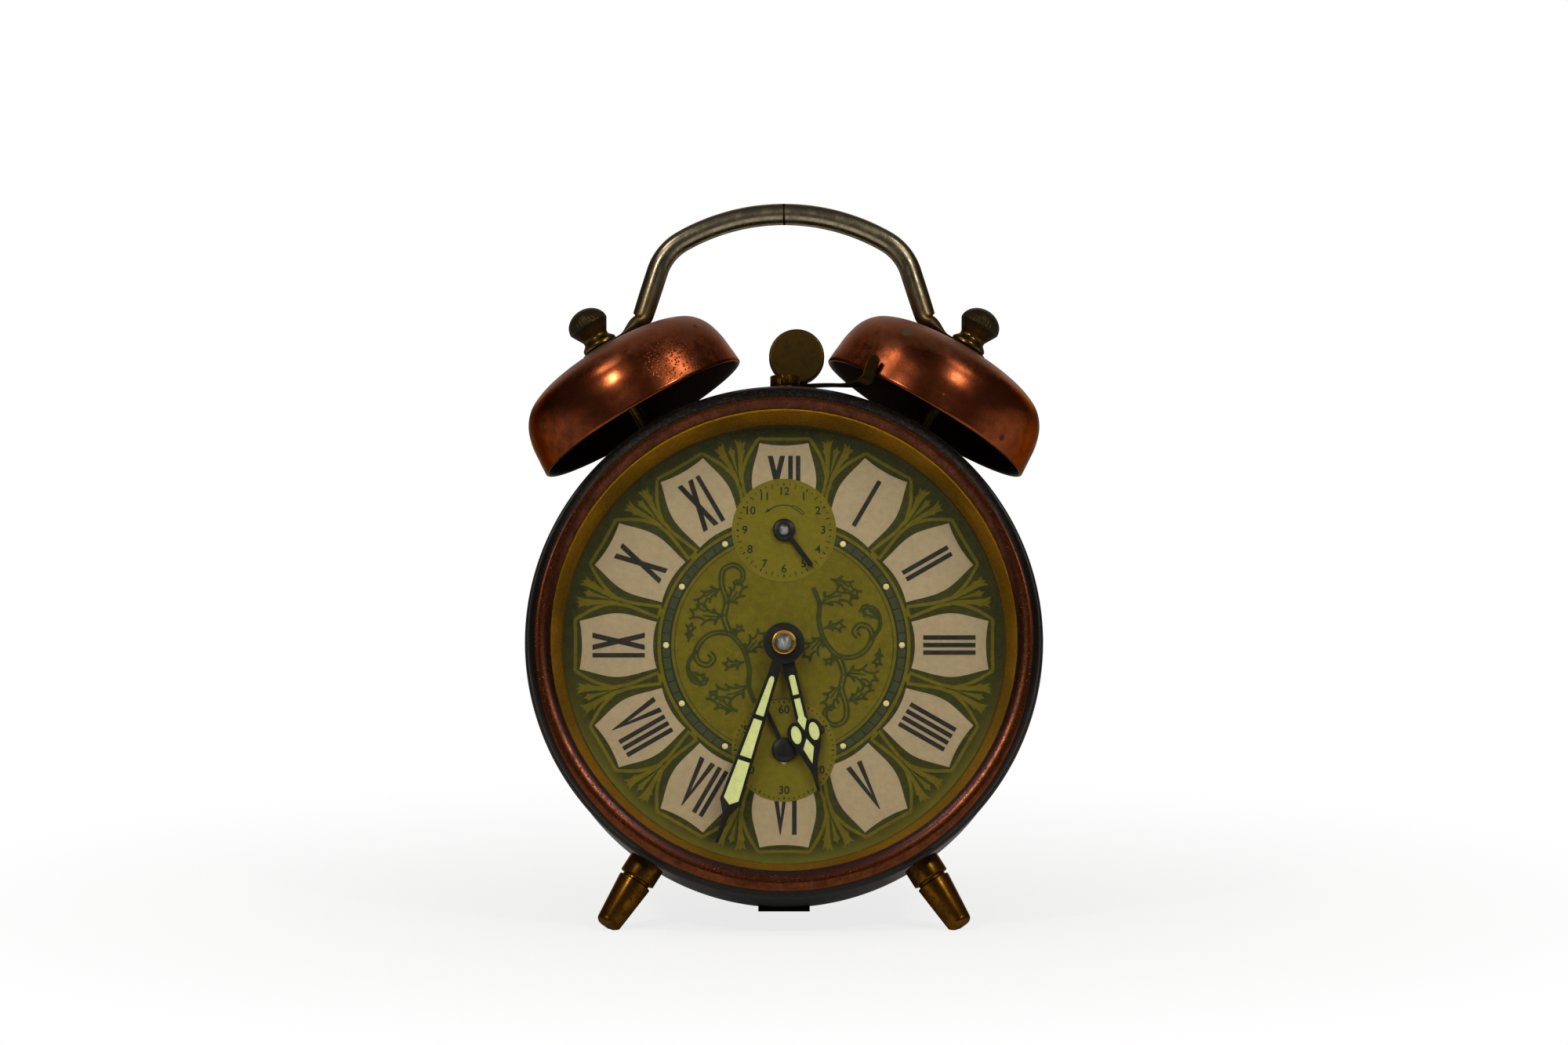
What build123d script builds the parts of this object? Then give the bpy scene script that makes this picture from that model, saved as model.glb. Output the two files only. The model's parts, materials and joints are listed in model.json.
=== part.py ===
from build123d import *
import math
import os

os.makedirs("parts", exist_ok=True)

# Twin-bell mechanical alarm clock, in millimetres and degrees.
# Clock frame: X to the right, Y back from the glass, Z up, with the case axis along Y.
# Bearings turn anticlockwise from +X as seen from the front, and depths are along Y.
# Once built, the clock is leaned back until it stands on its two feet and its rear rest.

# Fits and small clearances
running_fit = 0.05
seat_gap = 0.05
hole_ease = 0.2
shoulder_shake = 0.12
cut_overrun = 1.0

# Drum: a drawn steel shell with a rolled front bead and turned-in flanges
drum_front = 2.4
drum_back = 39.4
drum_front_radius = 54.7
drum_taper = 2.7
drum_rear_radius = drum_front_radius - drum_taper
drum_wall = 0.8
bead_radius = 1.15
bead_inset = 0.75
bead_ring_radius = drum_front_radius - bead_inset
rear_corner_radius = 1.2
rear_flange_width = 5.5
rear_flange_inner_radius = drum_rear_radius - rear_flange_width
dial_seat_inset = 9.2
dial_seat_inner_radius = drum_front_radius - dial_seat_inset
dial_seat_thickness = 0.8

# Bezel, glass, reflector ring and dial
bezel_outer_inset = 0.4
bezel_crest_inset = 1.9
bezel_width = 4.7
bezel_outer_radius = drum_front_radius - bezel_outer_inset
bezel_crest_radius = bezel_outer_radius - bezel_crest_inset
bezel_inner_radius = bezel_outer_radius - bezel_width
bezel_lip_front = -0.3
bezel_crest_front = -1.8
bezel_shoulder_bulge = 0.75
bezel_slope_bulge = 0.3
glass_seat_depth = 0.2
bezel_skirt_radius = bead_ring_radius - bead_radius - hole_ease
bezel_skirt_wall = 0.6
bezel_skirt_back = 5.0
bezel_rim_back = 2.2
glass_lap = 1.2
glass_radius = bezel_inner_radius + glass_lap
glass_thickness = 1.2
reflector_cone_width = 2.7
reflector_radius = bezel_inner_radius - reflector_cone_width
reflector_wall = 0.5
reflector_flange_width = 2.3
reflector_flange_radius = reflector_radius + reflector_flange_width
dial_seat_lap = 4.3
dial_radius = dial_seat_inner_radius + dial_seat_lap
dial_front = 8.05
dial_thickness = 0.5

# Bells, their posts and nuts, and the carrying handle
bell_tilt = 30.5
bell_depth = 21.0
bell_clearance = 4.3
bell_rim_distance = drum_front_radius + bell_clearance
bell_radius = 24.0
bell_height = 17.0
bell_wall = 0.9
bell_profile_shares = (
    (1, 0),
    (0.983, 0.235),
    (0.958, 0.47),
    (0.925, 0.624),
    (0.783, 0.8),
    (0.5125, 0.941),
    (0.16, 1),
)
post_radius = 2.0
post_stud_radius = 1.7
post_stud_length = 6.4
post_inner_length = 4.2
post_collar_radius = 3.6
post_collar_height = 1.8
post_shoulder_radius = 3.0
post_shoulder_height = 1.6
case_nut_radius = 3.4
case_nut_height = 2.6
eye_radius = 4.3
eye_thickness = 0.9
cap_nut_height = 8.9
cap_nut_foot_radius = 3.85
cap_nut_foot_height = 0.8
cap_nut_waist_radius = 2.85
cap_nut_waist_bottom = 1.7
cap_nut_waist_top = 2.4
cap_nut_cap_radius = 4.4
cap_nut_rim_bottom = 5.2
cap_nut_rim_top = 6.3
cap_nut_bevel = 0.25
cap_nut_knurls = 26
knurl_radius = 0.26
handle_rod_radius = 2.3
handle_rise = 18.95
handle_top = bell_rim_distance + bell_height + handle_rise
handle_top_radius = 43.5
handle_corner_radius = 11.65
handle_corner_bearing = 30.0
handle_leg_slope = 17.6
handle_bend_radius = 4.0

# Feet and rear rest
lean_angle = 16.5
foot_tilt = 147.7
foot_depth = 12.5
foot_length = 16.05
foot_reach = drum_front_radius + foot_length
foot_collar_radius = 3.95
foot_collar_length = 4.2
foot_groove_radius = 3.1
foot_groove_length = 0.7
foot_taper_radius = 3.7
foot_end_radius = 2.75
foot_corner_radius = 1.45
foot_flat = 0.4
foot_stud_radius = 1.6
foot_stud_length = 5.0
rest_width = 11.0
rest_front = 37.6
rest_length = 7.0
rest_height = 9.0
rest_lap = 5.2
rest_top_drop = drum_rear_radius - rest_lap

# Movement plates, pillars and the posts behind the dial
plate_thickness = 1.5
front_plate_front = 13.5
plate_gap = 16.0
pillar_ring_radius = 38.0
plate_border = 4.0
plate_radius = pillar_ring_radius + plate_border
pillar_bearings = (35, 115, 190, 255, 330)
pillar_radius = 2.0
pillar_stud_radius = 1.2
pillar_stud_length = 2.4
pillar_nut_radius = 2.5
pillar_nut_height = 1.8
dial_post_offset = 1.0
dial_post_ring_radius = pillar_ring_radius + dial_post_offset
dial_post_bearings = (75, 165, 222, 300)
dial_post_radius = 2.0

# Shape of the teeth, as shares of the module and of the tooth pitch
tip_share = 0.9
root_share = 1.2
tooth_base_share = 0.25
tooth_top_share = 0.1

# Going train
seconds_drop = 22.6
great_bearing = 155.0
great_module = 0.5
great_teeth = 72
centre_pinion_leaves = 12
centre_module = 0.4
centre_teeth = 64
third_pinion_leaves = 8
third_module = 0.35
third_teeth = 60
fourth_pinion_leaves = 8
fourth_module = 0.3
fourth_teeth = 64
escape_pinion_leaves = 8
escape_bearing = 200.0
escape_teeth = 15
escape_wheel_radius = 5.2
escape_tooth_height = 1.3
escape_tooth_lean = 9.0
pallet_distance = 7.5
pallet_bearing = 149.5
balance_distance = 8.0
balance_bearing = 158.0
balance_radius = 6.7
balance_rim_width = 1.3
balance_arm_width = 1.6
balance_hub_radius = 1.6
balance_thickness = 1.4
roller_radius = 1.3
impulse_pin_orbit = 1.9
impulse_pin_radius = 0.25
fork_gap = 0.3

# Depths of the wheels between the plates, from the inner face of the front plate
ratchet_offset = 0.3
ratchet_thickness = 1.0
great_offset = 1.6
great_thickness = 1.4
centre_pinion_offset = 0.9
centre_pinion_length = 2.7
centre_offset = 12.2
wheel_thickness = 0.8
third_pinion_offset = 11.6
third_pinion_length = 2.0
third_offset = 5.0
fourth_pinion_offset = 4.4
fourth_pinion_length = 2.2
fourth_offset = 8.2
fourth_thickness = 0.6
escape_pinion_offset = 7.8
escape_pinion_length = 1.7
escape_offset = 10.6
escape_thickness = 0.6
pallet_offset = 12.2
pallet_thickness = 0.7
pallet_pin_stop = 0.15
balance_offset = 4.0
hairspring_offset = 7.5
hairspring_height = 0.8

# Arbors
centre_arbor_radius = 1.73
centre_arbor_body_radius = 2.0
thin_arbor_radius = 0.8
thin_pivot_radius = 0.55
staff_pivot_radius = 0.4
wheel_hub_radius = 2.4
wheel_rim_width = 1.5
wheel_spoke_width = 1.4
winding_arbor_radius = 2.2
winding_pivot_radius = 2.0
ratchet_radius = 5.6
ratchet_tooth_height = 0.8
ratchet_teeth = 14
click_pivot_distance = 9.6
click_width = 1.8
click_thickness = 0.8
click_nose_turn = 45
click_nose_gap = 0.25
click_rivet_radius = 0.7
click_rivet_length = 1.1

# Springs, wound from half circles that touch
mainspring_strip = 0.4
mainspring_offset = 3.8
mainspring_width = 7.6
mainspring_start_radius = 3.2
mainspring_growth = 0.72
mainspring_half_turns = 14
alarm_spring_width = 6.6
alarm_spring_half_turns = 11
spring_anchor_radius = 0.9
hairspring_strip = 0.15
hairspring_start_radius = 1.5
hairspring_growth = 0.34
hairspring_half_turns = 11
hairspring_stud_radius = 0.6

# Motion work and alarm wheel behind the dial
alarm_rise = 24.7
hour_teeth = 48
cannon_leaves = 15
minute_teeth = 45
minute_pinion_leaves = 12
minute_bearing = 200.0
hour_wheel_front = 10.2
hour_wheel_thickness = 1.0
minute_wheel_front = 12.0
minute_pinion_front = 9.9
minute_pinion_length = 1.5
minute_stud_radius = 1.0
minute_stud_front = 9.4
cannon_pipe_radius = 2.2
hour_pipe_radius = 2.75
dial_centre_hole = 3.1
dial_alarm_hole = 1.5
dial_seconds_hole = 1.0
alarm_arbor_radius = 1.1
alarm_arbor_front = 6.8
alarm_collar_radius = 2.2
alarm_collar_length = 0.8
alarm_cam_radius = 3.4
alarm_cam_length = 0.9

# Hands
centre_post_front = 3.0
hand_nut_front = 3.6
hand_nut_radius = 2.6
hand_nut_length = 1.0
minute_hand_front = 4.7
hour_hand_front = 6.1
hand_thickness = 0.4
hand_frame = 0.65
minute_hub_radius = 4.4
minute_hand_time = 198.5
minute_hand_shoulder = 36.0
minute_hand_reach = 45.2
minute_hand_root_half = 1.2
minute_hand_wide_half = 2.3
minute_hand_neck = 38.9
minute_hand_neck_half = 0.75
minute_hand_tip_half = 0.35
minute_window_starts = (7.8, 17.4, 26.8)
minute_window_ends = (16.4, 25.8, 35.4)
minute_window_point = 1.2
hour_hub_radius = 4.2
hour_hand_time = 166.8
hour_hand_reach = 32.6
hour_shank_half = 1.3
hour_window_starts = (7.0, 12.1)
hour_window_ends = (11.2, 17.0)
hour_lobe_distance = 19.7
hour_lobe_aside = 1.85
hour_lobe_half_length = 2.0
hour_lobe_half_width = 1.05
hour_tail_start = 21.0
hour_tail_start_half = 3.1
hour_tail_middle = 24.8
hour_tail_middle_half = 1.8
hour_tail_neck = 28.0
hour_tail_neck_half = 0.6
hour_tail_tip_half = 0.35
hour_diamond_start = 20.9
hour_diamond_middle = 23.0
hour_diamond_end = 26.4
hour_diamond_half = 1.15
small_hand_front = 7.1
small_hand_thickness = 0.35
small_hub_front = 6.85
small_hub_length = 0.9
seconds_hub_radius = 2.6
seconds_hand_time = 336.5
seconds_hand_reach = 9.8
seconds_hand_half = 0.42
alarm_hub_radius = 2.4
alarm_hand_time = 143.0
alarm_hand_reach = 9.7
alarm_hand_half = 0.6

# Alarm train, hammer and silencer
alarm_great_distance = 20.9
alarm_great_bearing = 16.7
alarm_great_teeth = 60
verge_pinion_leaves = 8
verge_bearing = 110.0
verge_pinion_offset = 1.2
verge_pinion_length = 2.2
verge_wheel_radius = 6.0
verge_offset = 12.0
verge_teeth = 14
verge_tooth_height = 1.4
hammer_pivot_x = 9.5
hammer_pivot_z = 30.5
hammer_head_x = 2.7
hammer_head_rise = 9.2
hammer_head_z = drum_front_radius + hammer_head_rise
hammer_head_radius = 5.9
hammer_head_thickness = 3.4
hammer_head_rounding = 0.5
hammer_depth = 20.0
hammer_arm_width = 2.3
hammer_arm_thickness = 1.2
hammer_arm_grip = 2.6
hammer_hub_radius = 2.6
hammer_arbor_radius = 1.3
hammer_pivot_radius = 0.8
hammer_pallet_offset = 13.1
hammer_pallet_half_angle = 42.0
pallet_pin_radius = 0.3
hammer_slot_left = -2.2
hammer_slot_right = 7.9
hammer_slot_ease = 1.2
lever_pivot_x = 0.2
lever_pivot_depth = 12.0
lever_clearance = 0.8
lever_bottom = drum_front_radius + lever_clearance
lever_thickness = 0.7
lever_hub_radius = 3.3
lever_width = 3.0
lever_tab_x = 17.2
lever_tab_depth = -0.5
lever_tab_width = 2.6
lever_tab_height = 6.2
lever_tab_thickness = 0.8
lever_tab_tilt = 22.0
lever_finger_x = -4.0
lever_finger_depth = 20.0
lever_finger_width = 2.0
lever_finger_height = 1.6
silencer_head_radius = 3.15
silencer_head_height = 2.2
silencer_shank_radius = 1.3
silencer_sleeve_radius = 2.2
silencer_inner_length = 2.4
silencer_nut_radius = 2.3
silencer_nut_height = 1.4
screw_slot_width = 0.8
screw_slot_depth = 0.8

# Back cover, winding keys, setting knobs and regulator
cover_inset = 1.4
cover_radius = drum_rear_radius - cover_inset
cover_thickness = 0.8
cover_step_clearance = 0.3
cover_step_radius = rear_flange_inner_radius - cover_step_clearance
cover_field_radius = cover_step_radius - cover_thickness
cover_field_rise = 1.5
cover_hole_ease = 0.5
cover_screw_inset = 2.1
cover_screw_ring_radius = rear_flange_inner_radius + cover_screw_inset
cover_screw_bearings = (45, 135, 225, 315)
cover_screw_head_radius = 1.7
cover_screw_head_height = 1.2
cover_screw_radius = 0.9
cover_screw_length = 4.0
key_boss_front = 43.0
key_boss_radius = 3.3
key_boss_length = 7.5
key_bore_depth = 5.5
key_wing_front = 45.0
key_wing_back = 54.0
key_wing_half = 12.0
key_wing_thickness = 1.8
key_wing_waist = 2.2
key_wing_rounding = 3.0
knob_front = 43.0
knob_length = 7.0
knob_radius = 4.6
knob_bore_depth = 4.5
knob_knurls = 20
knob_knurl_radius = 0.45
regulator_offset = 0.6
regulator_thickness = 0.6
regulator_ring_radius = 3.2
regulator_arm_length = 12.0
regulator_arm_width = 2.0
regulator_bearing = 255.0
regulator_swing = 25.0
regulator_tip_back = 43.4
regulator_tip_radius = 0.9
regulator_boss_radius = 2.0

# Depths that follow from the sizes above
front_plate_back = front_plate_front + plate_thickness
back_plate_front = front_plate_back + plate_gap
back_plate_back = back_plate_front + plate_thickness
dial_back = dial_front + dial_thickness
dial_seat_front = dial_back + seat_gap
glass_front = glass_seat_depth + seat_gap
glass_back = glass_front + glass_thickness
bead_depth = drum_front + bead_radius
motion_module = alarm_rise / hour_teeth
bell_top_distance = bell_rim_distance + bell_height
eye_bottom_distance = bell_top_distance + seat_gap
nut_bottom_distance = eye_bottom_distance + eye_thickness + seat_gap
cover_front = drum_back + seat_gap
cover_back = cover_front + cover_field_rise + cover_thickness


def drum_radius_at(depth):
    share = (depth - bead_depth) / (drum_back - bead_depth)
    return drum_front_radius + (drum_rear_radius - drum_front_radius) * share


def away(start, distance, bearing):
    angle = math.radians(bearing)
    return (start[0] + distance * math.cos(angle), start[1] + distance * math.sin(angle))


def two_reaches(first, first_reach, second, second_reach):
    # The point at two given distances from two points, on the right of the line between them
    gap_x = second[0] - first[0]
    gap_z = second[1] - first[1]
    gap = math.hypot(gap_x, gap_z)
    along = (first_reach**2 - second_reach**2 + gap**2) / (gap + gap)
    aside = math.sqrt(first_reach**2 - along**2)
    x = first[0] + (gap_x * along - gap_z * aside) / gap
    z = first[1] + (gap_z * along + gap_x * aside) / gap
    return (x, z)


def bearing_between(start, end):
    return math.degrees(math.atan2(end[1] - start[1], end[0] - start[0]))


def pitch_radius(teeth, module):
    return teeth * module / 2


# Places of the arbors, as (x, z) seen from the front
centre_at = (0, 0)
seconds_at = (0, -seconds_drop)
alarm_at = (0, alarm_rise)
centre_to_third = pitch_radius(centre_teeth + third_pinion_leaves, centre_module)
third_to_fourth = pitch_radius(third_teeth + fourth_pinion_leaves, third_module)
fourth_to_escape = pitch_radius(fourth_teeth + escape_pinion_leaves, fourth_module)
third_at = two_reaches(centre_at, centre_to_third, seconds_at, third_to_fourth)
escape_at = away(seconds_at, fourth_to_escape, escape_bearing)
pallet_at = away(escape_at, pallet_distance, pallet_bearing)
balance_at = away(pallet_at, balance_distance, balance_bearing)
great_at = away(centre_at, pitch_radius(great_teeth + centre_pinion_leaves, great_module), great_bearing)
minute_at = away(centre_at, pitch_radius(cannon_leaves + minute_teeth, motion_module), minute_bearing)
alarm_great_at = away(centre_at, alarm_great_distance, alarm_great_bearing)
verge_reach = pitch_radius(alarm_great_teeth + verge_pinion_leaves, great_module)
verge_at = away(alarm_great_at, verge_reach, verge_bearing)
hammer_at = (hammer_pivot_x, hammer_pivot_z)


def outline(points):
    return make_face(Polyline(*points, close=True))


def turned(face, at=(0, 0)):
    # A profile drawn as (radius, depth), turned about a line along Y
    return Pos(at[0], 0, at[1]) * revolve(face, Axis.Y)


def stepped(steps, at=(0, 0)):
    # A shaft of joined steps, each a radius, a start and an end
    points = [(0, steps[0][1])]
    for radius, start, end in steps:
        points.append((radius, start))
        points.append((radius, end))
    points.append((0, steps[-1][2]))
    return turned(outline(points), at)


def rod(radius, start, end, at=(0, 0)):
    return stepped([(radius, start, end)], at)


def cut_from_front(sketch, front, thickness):
    # A flat sketch in x and z, given its thickness backwards from a depth
    face_plane = Plane(origin=(0, front, 0), x_dir=(1, 0, 0), z_dir=(0, -1, 0))
    return extrude(face_plane * sketch, amount=-thickness)


def radial(solid, tilt, depth):
    # Turns a solid built along Y so that it points away from the case axis
    return Pos(0, depth, 0) * Rot(0, tilt, 0) * Rot(90, 0, 0) * solid


def hexagon_nut(across_radius, bore_radius, start, height):
    shape = RegularPolygon(across_radius, 6) - Circle(bore_radius)
    return Rot(-90, 0, 0) * Pos(0, 0, start) * extrude(shape, amount=height)


def meshed_phase(bearing, driver_phase, driver_teeth, follower_teeth):
    # Phase of a gear whose gap faces a tooth of the gear that it meets, in degrees
    turn = (driver_phase - bearing) * driver_teeth / follower_teeth
    return bearing + 180 - turn - 180 / follower_teeth


def gear_face(teeth, module, phase):
    pitch = pitch_radius(teeth, module)
    tip = pitch + module * tip_share
    root = pitch - module * root_share
    step = 360 / teeth
    points = []
    for tooth in range(teeth):
        middle = phase + tooth * step
        points.append(away((0, 0), root, middle - step * tooth_base_share))
        points.append(away((0, 0), tip, middle - step * tooth_top_share))
        points.append(away((0, 0), tip, middle + step * tooth_top_share))
        points.append(away((0, 0), root, middle + step * tooth_base_share))
    return outline(points)


def pointed_wheel_face(teeth, radius, tooth_height, lean):
    # A wheel of raked, pointed teeth
    root = radius - tooth_height
    step = 360 / teeth
    points = []
    for tooth in range(teeth):
        middle = tooth * step
        points.append(away((0, 0), root, middle))
        points.append(away((0, 0), radius, middle + lean))
        points.append(away((0, 0), root, middle + lean))
    return outline(points)


def crossings(rim_inner_radius):
    # The four windows between the spokes of a wheel
    span = rim_inner_radius * 3
    windows = Circle(rim_inner_radius) - Circle(wheel_hub_radius)
    return windows - Rectangle(span, wheel_spoke_width) - Rectangle(wheel_spoke_width, span)


def crossed_gear(teeth, module, phase, bore_radius, front, thickness, at):
    root = pitch_radius(teeth, module) - module * root_share
    face = gear_face(teeth, module, phase) - crossings(root - wheel_rim_width) - Circle(bore_radius)
    return Pos(at[0], 0, at[1]) * cut_from_front(face, front, thickness)


def plain_gear(teeth, module, phase, bore_radius, front, thickness, at):
    face = gear_face(teeth, module, phase) - Circle(bore_radius)
    return Pos(at[0], 0, at[1]) * cut_from_front(face, front, thickness)


# Drum and the pieces seen from the front
def make_drum():
    wall = outline([
        (drum_front_radius, bead_depth),
        (drum_rear_radius, drum_back - rear_corner_radius),
        (drum_rear_radius - rear_corner_radius, drum_back),
        (rear_flange_inner_radius, drum_back),
        (rear_flange_inner_radius, drum_back - drum_wall),
        (drum_rear_radius - rear_corner_radius - drum_wall / 2, drum_back - drum_wall),
        (drum_rear_radius - drum_wall, drum_back - rear_corner_radius - drum_wall / 2),
        (drum_front_radius - drum_wall, bead_depth),
    ])
    bead = Pos(bead_ring_radius, bead_depth) * Circle(bead_radius)
    seat_outer = drum_radius_at(dial_seat_front) - drum_wall / 2
    seat_back = dial_seat_front + dial_seat_thickness
    seat = outline([
        (dial_seat_inner_radius, dial_seat_front),
        (seat_outer, dial_seat_front),
        (seat_outer, seat_back),
        (dial_seat_inner_radius, seat_back),
    ])
    shell = turned(wall + bead + seat)
    hole_length = bell_rim_distance
    for tilt in (-bell_tilt, bell_tilt):
        shell -= radial(rod(post_radius + hole_ease, 0, hole_length), tilt, bell_depth)
    for tilt in (-foot_tilt, foot_tilt):
        shell -= radial(rod(foot_stud_radius + hole_ease, 0, hole_length), tilt, foot_depth)
    shell -= radial(rod(silencer_shank_radius + hole_ease, 0, hole_length), 0, lever_pivot_depth)
    slot_width = hammer_slot_right - hammer_slot_left
    slot_length = hammer_arm_thickness + hammer_slot_ease * 2
    slot = Box(slot_width, slot_length, hole_length, align=(Align.MIN, Align.CENTER, Align.MIN))
    shell -= Pos(hammer_slot_left, hammer_depth, 0) * slot
    for bearing in cover_screw_bearings:
        at = away(centre_at, cover_screw_ring_radius, bearing)
        shell -= rod(cover_screw_radius + hole_ease, drum_back - drum_wall * 2, drum_back + cut_overrun, at)
    return shell


def make_bezel():
    outer_edge = (bezel_outer_radius, bezel_rim_back)
    crest = (bezel_crest_radius, bezel_crest_front)
    lip = (bezel_inner_radius, bezel_lip_front)
    shoulder_middle = (
        (outer_edge[0] + crest[0]) / 2 + bezel_shoulder_bulge,
        (outer_edge[1] + crest[1]) / 2 - bezel_shoulder_bulge,
    )
    slope_middle = (
        (crest[0] + lip[0]) / 2 - bezel_slope_bulge,
        (crest[1] + lip[1]) / 2 - bezel_slope_bulge,
    )
    seat_radius = glass_radius + seat_gap * 2
    skirt_inner = bezel_skirt_radius - bezel_skirt_wall
    section = make_face(Curve() + [
        ThreePointArc(outer_edge, shoulder_middle, crest),
        ThreePointArc(crest, slope_middle, lip),
        Polyline(
            lip,
            (bezel_inner_radius, glass_seat_depth),
            (seat_radius, glass_seat_depth),
            (seat_radius, bezel_rim_back),
            (skirt_inner, bezel_rim_back),
            (skirt_inner, bezel_skirt_back),
            (bezel_skirt_radius, bezel_skirt_back),
            (bezel_skirt_radius, bezel_rim_back),
            outer_edge,
        ),
    ])
    return turned(section)


def make_crystal():
    return rod(glass_radius, glass_front, glass_back)


def make_reflector_ring():
    front = glass_back + seat_gap
    back = dial_front - seat_gap
    inner_front = bezel_inner_radius - seat_gap
    return turned(outline([
        (inner_front, front),
        (glass_radius, front),
        (glass_radius, front + reflector_wall),
        (inner_front + reflector_wall, front + reflector_wall),
        (reflector_radius + reflector_wall * 2, back - reflector_wall),
        (reflector_flange_radius, back - reflector_wall),
        (reflector_flange_radius, back),
        (reflector_radius, back),
    ]))


def make_dial():
    plate = rod(dial_radius, dial_front, dial_back)
    for radius, at in (
        (dial_centre_hole, centre_at),
        (dial_alarm_hole, alarm_at),
        (dial_seconds_hole, seconds_at),
    ):
        plate -= rod(radius, dial_front - cut_overrun, dial_back + cut_overrun, at)
    return plate


# Bells, posts, nuts and handle
def bell_curve(radius, height):
    return Spline([(radius * across, height * up) for across, up in bell_profile_shares])


def make_bell():
    outer = bell_curve(bell_radius, bell_height)
    inner = bell_curve(bell_radius - bell_wall, bell_height - bell_wall)
    bore = post_stud_radius + hole_ease
    section = make_face(Curve() + [
        outer,
        Polyline(
            outer @ 1,
            (bore, bell_height),
            (bore, bell_height - bell_wall),
            inner @ 1,
        ),
        inner,
        Line(inner @ 0, outer @ 0),
    ])
    return Pos(0, bell_rim_distance, 0) * revolve(section, Axis.Y)


def make_bell_post():
    collar_start = drum_radius_at(bell_depth - post_collar_radius) + seat_gap
    inner_end = drum_radius_at(bell_depth) - drum_wall - post_inner_length
    shoulder_end = bell_top_distance - bell_wall - seat_gap
    shoulder_start = shoulder_end - post_shoulder_height
    stud_end = shoulder_end + post_stud_length + bell_wall
    return stepped([
        (post_radius, inner_end, collar_start),
        (post_collar_radius, collar_start, collar_start + post_collar_height),
        (post_radius, collar_start + post_collar_height, shoulder_start),
        (post_shoulder_radius, shoulder_start, shoulder_end),
        (post_stud_radius, shoulder_end, stud_end),
    ])


def case_nut(depth, bore_radius):
    # Its outer face lies on the inside of the drum
    outer_face = math.sqrt((drum_radius_at(depth + case_nut_radius) - drum_wall)**2 - case_nut_radius**2)
    return hexagon_nut(case_nut_radius, bore_radius, outer_face - case_nut_height, case_nut_height)


def make_cap_nut():
    bore = post_stud_radius + running_fit
    stud_top = bell_top_distance - seat_gap + post_stud_length
    bore_depth = stud_top - nut_bottom_distance + cut_overrun
    dome_start = (cap_nut_cap_radius - cap_nut_bevel, cap_nut_rim_top + cap_nut_bevel)
    dome_rise = cap_nut_height - dome_start[1]
    dome_radius = (dome_start[0]**2 + dome_rise**2) / (dome_rise + dome_rise)
    half_turn = math.asin(dome_start[0] / dome_radius) / 2
    dome_centre = cap_nut_height - dome_radius
    dome_side = (dome_radius * math.sin(half_turn), dome_centre + dome_radius * math.cos(half_turn))
    section = make_face(Curve() + [
        Polyline(
            (0, cap_nut_height),
            (0, 0),
            (cap_nut_foot_radius, 0),
            (cap_nut_foot_radius, cap_nut_foot_height),
            (cap_nut_waist_radius, cap_nut_waist_bottom),
            (cap_nut_waist_radius, cap_nut_waist_top),
            (cap_nut_cap_radius, cap_nut_rim_bottom),
            (cap_nut_cap_radius, cap_nut_rim_top),
            dome_start,
        ),
        ThreePointArc(dome_start, dome_side, (0, cap_nut_height)),
    ])
    nut = revolve(section, Axis.Y) - rod(bore, -cut_overrun, bore_depth)
    knurl = rod(knurl_radius, cap_nut_rim_bottom - knurl_radius * 3, cap_nut_rim_top + knurl_radius * 3)
    for number in range(cap_nut_knurls):
        turn = Rot(0, number * 360 / cap_nut_knurls, 0)
        nut -= turn * Pos(cap_nut_cap_radius, 0, 0) * knurl
    return Pos(0, nut_bottom_distance, 0) * nut


def handle_half_path():
    # Points and arcs of the right half, from the top middle down to the eye, in x and z
    lean = math.radians(handle_leg_slope)
    tilt = math.radians(bell_tilt)
    start_angle = math.radians(handle_corner_bearing)
    top_centre_z = handle_top - handle_top_radius
    inner_reach = handle_top_radius - handle_corner_radius
    corner_x = inner_reach * math.sin(start_angle)
    corner_z = top_centre_z + inner_reach * math.cos(start_angle)
    corner_start = (
        handle_top_radius * math.sin(start_angle),
        top_centre_z + handle_top_radius * math.cos(start_angle),
    )
    leg_out = (math.cos(lean), math.sin(lean))
    leg_down = (math.sin(lean), -math.cos(lean))
    leg_start = (
        corner_x + handle_corner_radius * leg_out[0],
        corner_z + handle_corner_radius * leg_out[1],
    )
    bell_up = (math.sin(tilt), math.cos(tilt))
    rod_end_distance = eye_bottom_distance + handle_rod_radius
    start_height = leg_start[0] * bell_up[0] + leg_start[1] * bell_up[1]
    turn_rise = math.sin(lean + tilt)
    fall_rate = math.cos(lean + tilt)
    leg_length = (start_height + handle_bend_radius * (turn_rise - 1) - rod_end_distance) / fall_rate
    leg_end = (leg_start[0] + leg_length * leg_down[0], leg_start[1] + leg_length * leg_down[1])
    bend_x = leg_end[0] + handle_bend_radius * leg_out[0]
    bend_z = leg_end[1] + handle_bend_radius * leg_out[1]
    rod_end = (bend_x - handle_bend_radius * bell_up[0], bend_z - handle_bend_radius * bell_up[1])
    top_middle_angle = start_angle / 2
    top_middle = (
        handle_top_radius * math.sin(top_middle_angle),
        top_centre_z + handle_top_radius * math.cos(top_middle_angle),
    )
    corner_middle_angle = (start_angle + math.pi / 2 - lean) / 2
    corner_middle = (
        corner_x + handle_corner_radius * math.sin(corner_middle_angle),
        corner_z + handle_corner_radius * math.cos(corner_middle_angle),
    )
    bend_middle_angle = (math.pi / 2 - lean + tilt) / 2
    bend_middle = (
        bend_x - handle_bend_radius * math.sin(bend_middle_angle),
        bend_z - handle_bend_radius * math.cos(bend_middle_angle),
    )
    return [(0, handle_top), top_middle, corner_start, corner_middle, leg_start, leg_end, bend_middle, rod_end]


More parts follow.
